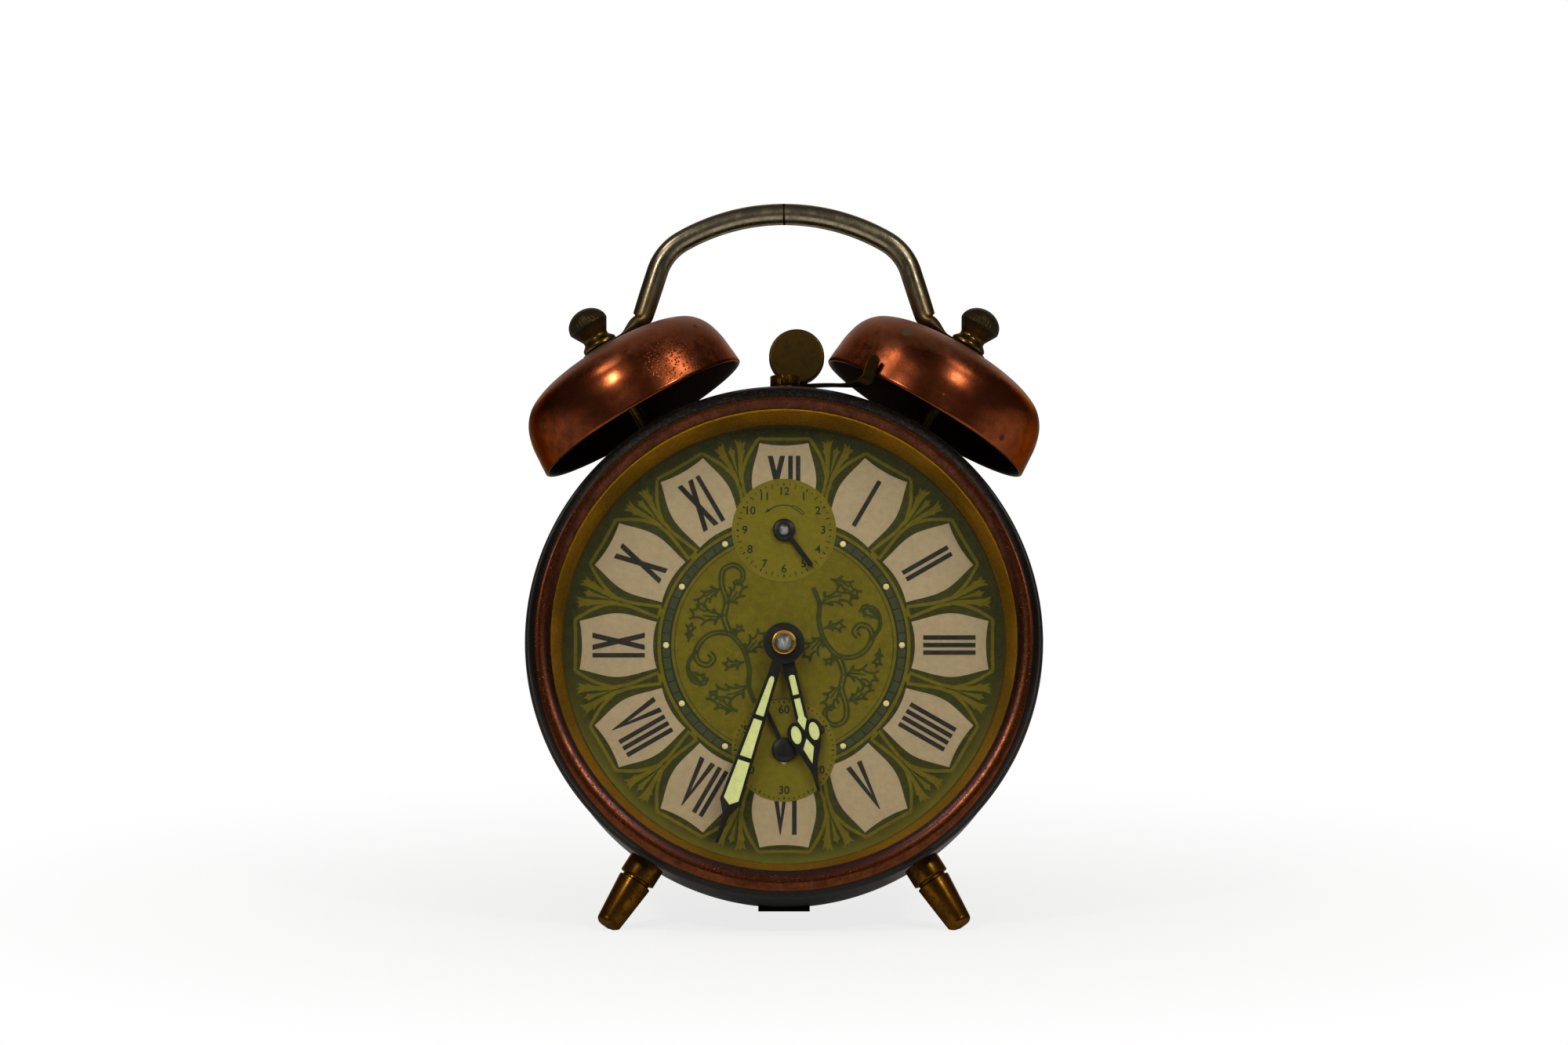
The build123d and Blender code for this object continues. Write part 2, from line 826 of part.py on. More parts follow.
def make_handle():
    right = [(x, bell_depth, z) for x, z in handle_half_path()]
    left = [(-x, bell_depth, z) for x, y, z in right]
    half_edges = []
    for points in (right, left):
        top, top_middle, corner_start, corner_middle, leg_start, leg_end, bend_middle, rod_end = points
        half_edges.append([
            ThreePointArc(top, top_middle, corner_start),
            ThreePointArc(corner_start, corner_middle, leg_start),
            Line(leg_start, leg_end),
            ThreePointArc(leg_end, bend_middle, rod_end),
        ])
    body = None
    for edges in half_edges:
        path = Wire(edges)
        section = Plane(origin=path @ 0, z_dir=path % 0) * Circle(handle_rod_radius)
        half = sweep(section, path=path)
        body = half if body is None else body + half
    end_x, end_z = handle_half_path()[-1]
    tilt = math.radians(bell_tilt)
    end_reach = end_x * math.cos(tilt) - end_z * math.sin(tilt)
    for side in (-1, 1):
        ball = Pos(side * end_x, bell_depth, end_z) * Sphere(handle_rod_radius)
        reach = Box(-end_reach, eye_radius * 2, eye_thickness, align=(Align.MAX, Align.CENTER, Align.MIN))
        eye = Cylinder(eye_radius, eye_thickness, align=(Align.CENTER, Align.CENTER, Align.MIN)) + reach
        eye -= Cylinder(post_stud_radius + hole_ease, bell_rim_distance)
        eye = Pos(0, 0, eye_bottom_distance) * eye
        if side < 0:
            eye = mirror(eye, about=Plane.YZ)
        body += Pos(0, bell_depth, 0) * Rot(0, side * bell_tilt, 0) * eye
        body += ball
    return body


# Feet and rear rest
def make_foot():
    start = drum_radius_at(foot_depth - foot_collar_radius) + seat_gap
    inner_end = drum_radius_at(foot_depth) - drum_wall - foot_stud_length
    collar_end = start + foot_collar_length
    groove_end = collar_end + foot_groove_length
    corner_start = foot_reach - foot_corner_radius
    corner_inner = foot_end_radius - foot_corner_radius
    bend = math.sqrt(2) / 2
    corner_middle = (corner_inner + foot_corner_radius * bend, corner_start + foot_corner_radius * bend)
    section = make_face(Curve() + [
        Polyline(
            (corner_inner, foot_reach),
            (0, foot_reach),
            (0, inner_end),
            (foot_stud_radius, inner_end),
            (foot_stud_radius, start),
            (foot_collar_radius, start),
            (foot_collar_radius, collar_end),
            (foot_groove_radius, collar_end),
            (foot_groove_radius, groove_end),
            (foot_taper_radius, groove_end),
            (foot_end_radius, corner_start),
        ),
        ThreePointArc((foot_end_radius, corner_start), corner_middle, (corner_inner, foot_reach)),
    ])
    return revolve(section, Axis.Y)


def table_drop():
    # How far the table lies below the case axis, measured in the leaned frame
    lean = math.radians(lean_angle)
    down = math.radians(180 - foot_tilt)
    corner_distance = foot_reach - foot_corner_radius
    axis_drop = corner_distance * math.cos(down) * math.cos(lean) + foot_depth * math.sin(lean)
    slant = math.acos(math.cos(down) * math.cos(lean))
    edge_drop = (foot_end_radius - foot_corner_radius) * math.sin(slant) + foot_corner_radius
    return axis_drop + edge_drop - foot_flat


def make_rear_rest():
    block = Box(rest_width, rest_length, rest_height, align=(Align.CENTER, Align.MIN, Align.MAX))
    block = Pos(0, rest_front, -rest_top_drop) * block
    rim_back = cover_front + cover_thickness + seat_gap
    case_outer = turned(outline([
        (0, bead_depth),
        (drum_front_radius + seat_gap, bead_depth),
        (drum_rear_radius + seat_gap, drum_back - rear_corner_radius),
        (drum_rear_radius + seat_gap, drum_back),
        (cover_radius + seat_gap, drum_back),
        (cover_radius + seat_gap, rim_back),
        (0, rim_back),
    ]))
    return block - case_outer


# Movement frame
def pivot_holes():
    holes = [
        (winding_pivot_radius, great_at),
        (winding_pivot_radius, alarm_great_at),
        (centre_arbor_radius, centre_at),
        (alarm_arbor_radius, alarm_at),
        (hammer_pivot_radius, hammer_at),
        (staff_pivot_radius, balance_at),
    ]
    for at in (third_at, seconds_at, escape_at, pallet_at, verge_at):
        holes.append((thin_pivot_radius, at))
    return holes


def plate_blank(front):
    plate = rod(plate_radius, front, front + plate_thickness)
    for radius, at in pivot_holes():
        plate -= rod(radius + running_fit, front - cut_overrun, front + plate_thickness + cut_overrun, at)
    return plate


def make_front_plate():
    plate = plate_blank(front_plate_front)
    return plate + rod(minute_stud_radius, minute_stud_front, front_plate_front + plate_thickness / 2, minute_at)


def make_back_plate():
    plate = plate_blank(back_plate_front)
    for bearing in pillar_bearings:
        at = away(centre_at, pillar_ring_radius, bearing)
        start = back_plate_front - cut_overrun
        plate -= rod(pillar_stud_radius + hole_ease, start, back_plate_back + cut_overrun, at)
    boss_back = back_plate_back + regulator_offset + regulator_thickness + seat_gap
    boss = rod(regulator_boss_radius, back_plate_back - plate_thickness / 2, boss_back, balance_at)
    bore_radius = staff_pivot_radius + running_fit
    plate += boss - rod(bore_radius, back_plate_front - cut_overrun, boss_back + cut_overrun, balance_at)
    return plate


def make_plate_pillars():
    pillars = []
    for bearing in pillar_bearings:
        at = away(centre_at, pillar_ring_radius, bearing)
        pillars.append(stepped([
            (pillar_radius, front_plate_back, back_plate_front),
            (pillar_stud_radius, back_plate_front, back_plate_back + pillar_stud_length),
        ], at))
    for end, width in ((mainspring_end(), mainspring_width), (alarm_spring_end(), alarm_spring_width)):
        start = front_plate_back + mainspring_offset
        pillars.append(rod(spring_anchor_radius, start, back_plate_front, end))
    stud_start = front_plate_back + hairspring_offset
    pillars.append(rod(hairspring_stud_radius, stud_start, back_plate_front, hairspring_stud_at()))
    return pillars


def make_pillar_nuts():
    nuts = []
    for bearing in pillar_bearings:
        at = away(centre_at, pillar_ring_radius, bearing)
        nut = hexagon_nut(pillar_nut_radius, pillar_stud_radius + running_fit, back_plate_back, pillar_nut_height)
        nuts.append(Pos(at[0], 0, at[1]) * nut)
    return nuts


def make_dial_posts():
    posts = []
    for bearing in dial_post_bearings:
        at = away(centre_at, dial_post_ring_radius, bearing)
        posts.append(rod(dial_post_radius, dial_back, front_plate_front, at))
    return posts


# Springs
def spiral_face(start_radius, growth, half_turns, strip):
    # Half circles of growing radius, whose centres step to and fro by the growth
    outer_points = []
    inner_points = []
    radius = start_radius
    centre = 0
    side = 1
    outer = []
    inner = []
    for turn in range(half_turns):
        for offset, edges in ((strip / 2, outer), (-strip / 2, inner)):
            reach = radius + offset
            edges.append(ThreePointArc(
                (centre + side * reach, 0),
                (centre, side * reach),
                (centre - side * reach, 0),
            ))
        centre += side * growth
        radius += growth
        side = -side
    ends = [Line(outer[0] @ 0, inner[0] @ 0), Line(outer[-1] @ 1, inner[-1] @ 1)]
    return make_face(Curve() + outer + inner + ends)


def spiral_outer_reach(start_radius, growth, half_turns):
    # Signed place of the outer end on the line through the centre
    radius = start_radius
    centre = 0
    side = 1
    place = 0
    for turn in range(half_turns):
        place = centre - side * radius
        centre += side * growth
        radius += growth
        side = -side
    return place


def print_least_gap(name, start_radius, growth, half_turns, strip):
    # Points along the middle of the strip, a degree apart, against those about a turn later
    half_turn_steps = 180
    turn_steps = half_turn_steps * 2
    window_steps = half_turn_steps // 3
    points = []
    radius = start_radius
    centre = 0
    side = 1
    for turn in range(half_turns):
        for step in range(half_turn_steps):
            angle = math.radians(step)
            points.append((centre + side * radius * math.cos(angle), side * radius * math.sin(angle)))
        centre += side * growth
        radius += growth
        side = -side
    least = start_radius * half_turns
    for number in range(len(points) - turn_steps):
        first = number + turn_steps - window_steps
        last = min(number + turn_steps + window_steps, len(points))
        for other in range(first, last):
            least = min(least, math.dist(points[number], points[other]))
    print(name, "least gap between turns", round(least - strip, 2), "mm")


def mainspring_end():
    reach = abs(spiral_outer_reach(mainspring_start_radius, mainspring_growth, mainspring_half_turns))
    reach += mainspring_strip / 2 + spring_anchor_radius + seat_gap
    return away(great_at, reach, 180)


def alarm_spring_end():
    reach = abs(spiral_outer_reach(mainspring_start_radius, mainspring_growth, alarm_spring_half_turns))
    reach += mainspring_strip / 2 + spring_anchor_radius + seat_gap
    return away(alarm_great_at, reach, 0)


def hairspring_stud_at():
    reach = abs(spiral_outer_reach(hairspring_start_radius, hairspring_growth, hairspring_half_turns))
    reach += hairspring_strip / 2 + hairspring_stud_radius + seat_gap
    return away(balance_at, reach, 180)


def make_spring(start_radius, growth, half_turns, strip, front, width, at, end_bearing):
    face = spiral_face(start_radius, growth, half_turns, strip)
    place = spiral_outer_reach(start_radius, growth, half_turns)
    natural_bearing = 0 if place > 0 else 180
    solid = cut_from_front(face, front, width)
    return Pos(at[0], 0, at[1]) * Rot(0, natural_bearing - end_bearing, 0) * solid


# Phases that put every pair of gears in mesh at rest
great_phase = 0
centre_pinion_phase = meshed_phase(
    bearing_between(great_at, centre_at), great_phase, great_teeth, centre_pinion_leaves)
centre_phase = 0
third_pinion_phase = meshed_phase(
    bearing_between(centre_at, third_at), centre_phase, centre_teeth, third_pinion_leaves)
third_phase = 0
fourth_pinion_phase = meshed_phase(
    bearing_between(third_at, seconds_at), third_phase, third_teeth, fourth_pinion_leaves)
fourth_phase = 0
escape_pinion_phase = meshed_phase(
    bearing_between(seconds_at, escape_at), fourth_phase, fourth_teeth, escape_pinion_leaves)
cannon_phase = 0
minute_phase = meshed_phase(
    bearing_between(centre_at, minute_at), cannon_phase, cannon_leaves, minute_teeth)
hour_phase = 0
minute_pinion_phase = meshed_phase(
    bearing_between(centre_at, minute_at), hour_phase, hour_teeth, minute_pinion_leaves)
alarm_phase = meshed_phase(bearing_between(centre_at, alarm_at), hour_phase, hour_teeth, hour_teeth)
alarm_great_phase = 0
verge_pinion_phase = meshed_phase(
    bearing_between(alarm_great_at, verge_at), alarm_great_phase, alarm_great_teeth, verge_pinion_leaves)


# Centre arbor and motion work
def inside(offset):
    # Depth of a place between the plates
    return front_plate_back + offset


def make_centre_arbor():
    shaft = stepped([
        (centre_arbor_radius, centre_post_front, inside(shoulder_shake)),
        (centre_arbor_body_radius, inside(shoulder_shake), back_plate_front - shoulder_shake),
        (centre_arbor_radius, back_plate_front - shoulder_shake, knob_front + knob_bore_depth - seat_gap),
    ])
    pinion = plain_gear(
        centre_pinion_leaves, great_module, centre_pinion_phase, centre_arbor_body_radius / 2,
        inside(centre_pinion_offset), centre_pinion_length, centre_at)
    return shaft + pinion


def make_centre_wheel():
    return crossed_gear(
        centre_teeth, centre_module, centre_phase, centre_arbor_body_radius + seat_gap / 2,
        inside(centre_offset), wheel_thickness, centre_at)


def make_cannon_pinion():
    bore = centre_arbor_radius + seat_gap / 2
    hand_back = minute_hand_front + hand_thickness
    pipe_back = minute_wheel_front + wheel_thickness
    pipe = rod(cannon_pipe_radius, hand_back, pipe_back) - rod(bore, 0, front_plate_front)
    leaves = plain_gear(
        cannon_leaves, motion_module, cannon_phase, bore, minute_wheel_front, wheel_thickness, centre_at)
    return pipe + leaves


def make_minute_wheel():
    wheel = crossed_gear(
        minute_teeth, motion_module, minute_phase, minute_stud_radius + running_fit,
        minute_wheel_front, wheel_thickness, minute_at)
    pinion = plain_gear(
        minute_pinion_leaves, motion_module, minute_pinion_phase, minute_stud_radius + running_fit,
        minute_pinion_front, minute_pinion_length, minute_at)
    sleeve_start = minute_pinion_front + minute_pinion_length / 2
    sleeve = rod(wheel_hub_radius, sleeve_start, minute_wheel_front + wheel_thickness / 2, minute_at)
    sleeve -= rod(minute_stud_radius + running_fit, 0, front_plate_front, minute_at)
    return wheel + pinion + sleeve


def make_hour_wheel():
    bore = cannon_pipe_radius + running_fit
    wheel_back = hour_wheel_front + hour_wheel_thickness
    root = pitch_radius(hour_teeth, motion_module) - motion_module * root_share
    windows = crossings(root - wheel_rim_width) - Circle(hour_pipe_radius + wheel_rim_width)
    face = gear_face(hour_teeth, motion_module, hour_phase) - windows - Circle(bore)
    wheel = cut_from_front(face, hour_wheel_front, hour_wheel_thickness)
    pipe = rod(hour_pipe_radius, hour_hand_front, wheel_back) - rod(bore, 0, front_plate_front)
    return wheel + pipe


def make_alarm_wheel():
    wheel = crossed_gear(
        hour_teeth, motion_module, alarm_phase, alarm_arbor_radius + running_fit,
        hour_wheel_front, hour_wheel_thickness, alarm_at)
    hub_back = hour_wheel_front + hour_wheel_thickness + alarm_cam_length
    hub = rod(wheel_hub_radius, hour_wheel_front, hub_back, alarm_at)
    return wheel + hub - rod(alarm_arbor_radius + running_fit, 0, front_plate_front, alarm_at)


# Hands, drawn pointing up before they are turned to the time
def placed_hand(sketch, front, thickness, clock_angle, at):
    hand = cut_from_front(Rot(0, 0, -clock_angle) * sketch, front, thickness)
    return Pos(at[0], 0, at[1]) * hand


def minute_half_width(distance):
    first = minute_window_starts[0]
    share = (distance - first) / (minute_hand_shoulder - first)
    return minute_hand_root_half + (minute_hand_wide_half - minute_hand_root_half) * share


def minute_windows():
    windows = []
    for start, end in zip(minute_window_starts, minute_window_ends):
        start_half = minute_half_width(start) - hand_frame
        end_half = minute_half_width(end) - hand_frame
        points = [(-start_half, start), (-end_half, end), (end_half, end), (start_half, start)]
        if end == minute_window_ends[-1]:
            points.insert(2, (0, end + minute_window_point))
        windows.append(outline(points))
    return windows


def make_minute_hand():
    root_half = minute_hand_root_half
    blade = outline([
        (-root_half, 0),
        (-root_half, minute_window_starts[0]),
        (-minute_hand_wide_half, minute_hand_shoulder),
        (-minute_hand_neck_half, minute_hand_neck),
        (-minute_hand_tip_half, minute_hand_reach),
        (minute_hand_tip_half, minute_hand_reach),
        (minute_hand_neck_half, minute_hand_neck),
        (minute_hand_wide_half, minute_hand_shoulder),
        (root_half, minute_window_starts[0]),
        (root_half, 0),
    ])
    sketch = blade + Circle(minute_hub_radius)
    for window in minute_windows():
        sketch -= window
    sketch -= Circle(centre_arbor_radius + seat_gap / 2)
    return placed_hand(sketch, minute_hand_front, hand_thickness, minute_hand_time, centre_at)


def hour_windows():
    window_half = hour_shank_half - hand_frame
    windows = []
    for start, end in zip(hour_window_starts, hour_window_ends):
        windows.append(outline([
            (-window_half, start),
            (-window_half, end),
            (window_half, end),
            (window_half, start),
        ]))
    for side in (-1, 1):
        place = Pos(side * hour_lobe_aside, hour_lobe_distance)
        windows.append(place * Ellipse(hour_lobe_half_width, hour_lobe_half_length))
    windows.append(outline([
        (0, hour_diamond_start),
        (-hour_diamond_half, hour_diamond_middle),
        (0, hour_diamond_end),
        (hour_diamond_half, hour_diamond_middle),
    ]))
    return windows


def make_hour_hand():
    blade = outline([
        (-hour_shank_half, 0),
        (-hour_shank_half, hour_lobe_distance),
        (-hour_tail_start_half, hour_tail_start),
        (-hour_tail_middle_half, hour_tail_middle),
        (-hour_tail_neck_half, hour_tail_neck),
        (-hour_tail_tip_half, hour_hand_reach),
        (hour_tail_tip_half, hour_hand_reach),
        (hour_tail_neck_half, hour_tail_neck),
        (hour_tail_middle_half, hour_tail_middle),
        (hour_tail_start_half, hour_tail_start),
        (hour_shank_half, hour_lobe_distance),
        (hour_shank_half, 0),
    ])
    sketch = blade + Circle(hour_hub_radius)
    for side in (-1, 1):
        place = Pos(side * hour_lobe_aside, hour_lobe_distance)
        sketch += place * Ellipse(hour_lobe_half_width + hand_frame, hour_lobe_half_length + hand_frame)
    for window in hour_windows():
        sketch -= window
    sketch -= Circle(hour_pipe_radius + seat_gap / 2)
    return placed_hand(sketch, hour_hand_front, hand_thickness, hour_hand_time, centre_at)


def make_small_hand(hub_radius, reach, half_width, clock_angle, bore, at):
    blade = outline([(-half_width, 0), (-half_width / 2, reach), (half_width / 2, reach), (half_width, 0)])
    hand = placed_hand(blade - Circle(bore), small_hand_front, small_hand_thickness, clock_angle, at)
    hub_back = small_hub_front + small_hub_length
    hub = rod(hub_radius, small_hub_front, hub_back, at)
    return hand + hub - rod(bore, 0, dial_front, at)


def make_seconds_hand():
    bore = thin_pivot_radius + seat_gap / 2
    return make_small_hand(
        seconds_hub_radius, seconds_hand_reach, seconds_hand_half, seconds_hand_time, bore, seconds_at)


def make_alarm_hand():
    bore = alarm_arbor_radius + seat_gap / 2
    return make_small_hand(
        alarm_hub_radius, alarm_hand_reach, alarm_hand_half, alarm_hand_time, bore, alarm_at)


def make_hand_nut():
    bore = centre_arbor_radius + seat_gap / 2
    ring = rod(hand_nut_radius, hand_nut_front, hand_nut_front + hand_nut_length)
    return ring - rod(bore, 0, minute_hand_front)


# Wheels between the plates
def thin_shaft(at, front, back, pivot_radius=thin_pivot_radius, body_radius=thin_arbor_radius):
    return stepped([
        (pivot_radius, front, inside(shoulder_shake)),
        (body_radius, inside(shoulder_shake), back_plate_front - shoulder_shake),
        (pivot_radius, back_plate_front - shoulder_shake, back),
    ], at)


def make_third_wheel():
    shaft = thin_shaft(third_at, front_plate_front, back_plate_back)
    pinion = plain_gear(
        third_pinion_leaves, centre_module, third_pinion_phase, thin_arbor_radius / 2,
        inside(third_pinion_offset), third_pinion_length, third_at)
    wheel = crossed_gear(
        third_teeth, third_module, third_phase, thin_arbor_radius / 2,
        inside(third_offset), wheel_thickness, third_at)
    return shaft + pinion + wheel


def make_fourth_wheel():
    shaft = thin_shaft(seconds_at, small_hub_front, back_plate_back)
    pinion = plain_gear(
        fourth_pinion_leaves, third_module, fourth_pinion_phase, thin_arbor_radius / 2,
        inside(fourth_pinion_offset), fourth_pinion_length, seconds_at)
    wheel = crossed_gear(
        fourth_teeth, fourth_module, fourth_phase, thin_arbor_radius / 2,
        inside(fourth_offset), fourth_thickness, seconds_at)
    return shaft + pinion + wheel


def make_escape_wheel():
    shaft = thin_shaft(escape_at, front_plate_front, back_plate_back)
    pinion = plain_gear(
        escape_pinion_leaves, fourth_module, escape_pinion_phase, thin_pivot_radius / 2,
        inside(escape_pinion_offset), escape_pinion_length, escape_at)
    face = pointed_wheel_face(escape_teeth, escape_wheel_radius, escape_tooth_height, escape_tooth_lean)
    wheel = cut_from_front(face, inside(escape_offset), escape_thickness)
    return shaft + pinion + Pos(escape_at[0], 0, escape_at[1]) * wheel


def make_pallet_lever():
    shaft = thin_shaft(pallet_at, front_plate_front, back_plate_back)
    front = inside(pallet_offset)
    pin_front = inside(escape_offset) + escape_thickness + pallet_pin_stop
    toward = bearing_between(escape_at, pallet_at)
    lever = rod(thin_arbor_radius * 2, front, front + pallet_thickness, pallet_at)
    fork_reach = balance_distance - impulse_pin_orbit - thin_arbor_radius - fork_gap
    fork_tip = away(pallet_at, fork_reach, balance_bearing)
    arms = [(fork_tip, False)]
    for side in (-1, 1):
        pin_at = away(escape_at, escape_wheel_radius, toward + side * hammer_pallet_half_angle)
        arms.append((pin_at, True))
    for tip, has_pin in arms:
        middle = ((tip[0] + pallet_at[0]) / 2, (tip[1] + pallet_at[1]) / 2)
        length = math.dist(tip, pallet_at)
        bar = Rot(0, 0, bearing_between(pallet_at, tip)) * Rectangle(length, thin_arbor_radius)
        lever += cut_from_front(Pos(*middle) * bar, front, pallet_thickness)
        lever += rod(thin_arbor_radius, front, front + pallet_thickness, tip)
        if has_pin:
            lever += rod(pallet_pin_radius, pin_front, front + pallet_thickness, tip)
    return shaft + lever


def make_balance_wheel():
    staff = thin_shaft(
        balance_at, front_plate_front, back_plate_back + regulator_offset, staff_pivot_radius, thin_arbor_radius)
    rim = Circle(balance_radius) - Circle(balance_radius - balance_rim_width)
    span = balance_radius * 2 - balance_rim_width
    arms = Rectangle(span, balance_arm_width) + Circle(balance_hub_radius)
    wheel = cut_from_front(rim + arms, inside(balance_offset), balance_thickness)
    roller_front = inside(pallet_offset)
    table_front = roller_front + pallet_thickness * 2
    roller = rod(roller_radius, table_front, table_front + pallet_thickness)
    table = Rectangle(impulse_pin_orbit * 2, impulse_pin_radius * 4)
    roller += cut_from_front(table, table_front, pallet_thickness)
    pin = rod(impulse_pin_radius, roller_front, table_front, (impulse_pin_orbit - impulse_pin_radius, 0))
    return staff + Pos(balance_at[0], 0, balance_at[1]) * (wheel + roller + pin)


def make_winding_arbor(at):
    ratchet_front = inside(ratchet_offset)
    shaft = stepped([
        (winding_pivot_radius, front_plate_front, inside(shoulder_shake)),
        (winding_arbor_radius, inside(shoulder_shake), back_plate_front - shoulder_shake),
        (winding_pivot_radius, back_plate_front - shoulder_shake, key_boss_front + key_bore_depth - seat_gap),
    ], at)
    step = 360 / ratchet_teeth
    face = pointed_wheel_face(ratchet_teeth, ratchet_radius, ratchet_tooth_height, step / 4)
    return shaft + Pos(at[0], 0, at[1]) * cut_from_front(face, ratchet_front, ratchet_thickness)


def make_spring_wheel(teeth, phase, at):
    face = gear_face(teeth, great_module, phase) - Circle(winding_arbor_radius + running_fit)
    wheel = cut_from_front(face, inside(great_offset), great_thickness)
    return Pos(at[0], 0, at[1]) * wheel


def make_click(at, bearing):
    # A pawl riveted to the front of its great wheel, with its nose just clear of the ratchet
    back = inside(great_offset)
    front = back - click_thickness - seat_gap
    pivot = away(at, click_pivot_distance, bearing)
    nose_distance = ratchet_radius + click_nose_gap + click_width / 2
    nose = away(at, nose_distance, bearing + click_nose_turn)
    middle = ((pivot[0] + nose[0]) / 2, (pivot[1] + nose[1]) / 2)
    bar = Rot(0, 0, bearing_between(pivot, nose)) * Rectangle(math.dist(pivot, nose), click_width)
    sketch = Pos(*middle) * bar + Pos(*pivot) * Circle(click_width) + Pos(*nose) * Circle(click_width / 2)
    pawl = cut_from_front(sketch, front, click_thickness)
    return pawl + rod(click_rivet_radius, front, back, pivot)


def make_verge_wheel():
    shaft = thin_shaft(verge_at, front_plate_front, back_plate_back)
    pinion = plain_gear(
        verge_pinion_leaves, great_module, verge_pinion_phase, thin_arbor_radius / 2,
        inside(verge_pinion_offset), verge_pinion_length, verge_at)
    face = pointed_wheel_face(verge_teeth, verge_wheel_radius, verge_tooth_height, escape_tooth_lean)
    wheel = cut_from_front(face, inside(verge_offset), wheel_thickness)
    return shaft + pinion + Pos(verge_at[0], 0, verge_at[1]) * wheel


def make_alarm_arbor():
    collar_front = hour_wheel_front - alarm_collar_length - seat_gap * 2
    shaft = stepped([
        (alarm_arbor_radius, alarm_arbor_front, collar_front),
        (alarm_collar_radius, collar_front, collar_front + alarm_collar_length),
        (alarm_arbor_radius, collar_front + alarm_collar_length, knob_front + knob_bore_depth - seat_gap),
    ], alarm_at)
    cam_front = inside(shoulder_shake)
    cam = rod(alarm_cam_radius, cam_front, cam_front + alarm_cam_length, alarm_at)
    return shaft + cam


# Hammer and silencer
def make_hammer_arm():
    shaft = stepped([
        (hammer_pivot_radius, front_plate_front, inside(shoulder_shake)),
        (hammer_arbor_radius, inside(shoulder_shake), back_plate_front - shoulder_shake),
        (hammer_pivot_radius, back_plate_front - shoulder_shake, back_plate_back),
    ], hammer_at)
    arm_front = hammer_depth - hammer_arm_thickness / 2
    head_at = (hammer_head_x, hammer_head_z)
    bearing = bearing_between(hammer_at, head_at)
    reach = math.dist(hammer_at, head_at) - hammer_head_radius + hammer_arm_grip
    middle = away(hammer_at, reach / 2, bearing)
    strip = Pos(*middle) * Rot(0, 0, bearing) * Rectangle(reach, hammer_arm_width)
    strip += Pos(*hammer_at) * Circle(hammer_hub_radius)
    arm = cut_from_front(strip, arm_front, hammer_arm_thickness)
    pallet_front = inside(hammer_pallet_offset)
    pin_front = inside(verge_offset) + wheel_thickness + pallet_pin_stop
    arm += rod(hammer_hub_radius, pallet_front, pallet_front + pallet_thickness, hammer_at)
    toward = bearing_between(verge_at, hammer_at)
    for side in (-1, 1):
        tip = away(verge_at, verge_wheel_radius, toward + side * hammer_pallet_half_angle)
        half = ((tip[0] + hammer_at[0]) / 2, (tip[1] + hammer_at[1]) / 2)
        length = math.dist(tip, hammer_at)
        bar = Rot(0, 0, bearing_between(hammer_at, tip)) * Rectangle(length, thin_arbor_radius)
        arm += cut_from_front(Pos(*half) * bar, pallet_front, pallet_thickness)
        arm += rod(thin_arbor_radius, pallet_front, pallet_front + pallet_thickness, tip)
        arm += rod(pallet_pin_radius, pin_front, pallet_front + pallet_thickness, tip)
    return shaft + arm


def make_hammer_head():
    head_front = hammer_depth - hammer_head_thickness / 2
    head_at = (hammer_head_x, hammer_head_z)
    disc = rod(hammer_head_radius, head_front, head_front + hammer_head_thickness, head_at)
    disc = fillet(disc.edges().filter_by(GeomType.CIRCLE), hammer_head_rounding)
    bearing = bearing_between(hammer_at, head_at)
    grip_middle = away(head_at, hammer_head_radius - hammer_arm_grip / 2 + cut_overrun / 2, bearing + 180)
    grip = Rectangle(hammer_arm_grip + cut_overrun + seat_gap * 2, hammer_arm_width + seat_gap * 2)
    pocket = Pos(*grip_middle) * Rot(0, 0, bearing) * grip
    pocket_front = hammer_depth - hammer_arm_thickness / 2 - seat_gap
    return disc - cut_from_front(pocket, pocket_front, hammer_arm_thickness + seat_gap * 2)


def flat_bar(start, end, width):
    middle = ((start[0] + end[0]) / 2, (start[1] + end[1]) / 2)
    bar = Rot(0, 0, bearing_between(start, end)) * Rectangle(math.dist(start, end), width)
    return Pos(*middle) * bar + Pos(*end) * Circle(width / 2)


def make_silencer_lever():
    pivot = (lever_pivot_x, lever_pivot_depth)
    tab_base = (lever_tab_x, lever_tab_depth)
    finger_tip = (lever_finger_x, lever_finger_depth)
    sketch = Pos(*pivot) * Circle(lever_hub_radius)
    sketch += flat_bar(pivot, tab_base, lever_width)
    sketch += flat_bar(pivot, finger_tip, lever_finger_width)
    sketch -= Pos(*pivot) * Circle(silencer_shank_radius + running_fit)
    lever = extrude(Pos(0, 0, lever_bottom) * sketch, amount=lever_thickness)
    tab_face = SlotCenterPoint(
        (0, 0), (0, lever_tab_height / 2 - lever_tab_width / 4), lever_tab_width)
    tab_plane = Plane(origin=(0, 0, 0), x_dir=(1, 0, 0), z_dir=(0, -1, 0))
    tab = extrude(tab_plane * tab_face, amount=lever_tab_thickness / 2, both=True)
    tab = Rot(0, lever_tab_tilt, 0) * Pos(0, 0, lever_tab_height / 2 - lever_thickness / 2) * tab
    lever += Pos(lever_tab_x, lever_tab_depth, lever_bottom + lever_thickness / 2) * tab
    finger = Cylinder(lever_finger_width / 2, lever_finger_height, align=(Align.CENTER, Align.CENTER, Align.MAX))
    lever += Pos(lever_finger_x, lever_finger_depth, lever_bottom + lever_thickness) * finger
    return lever


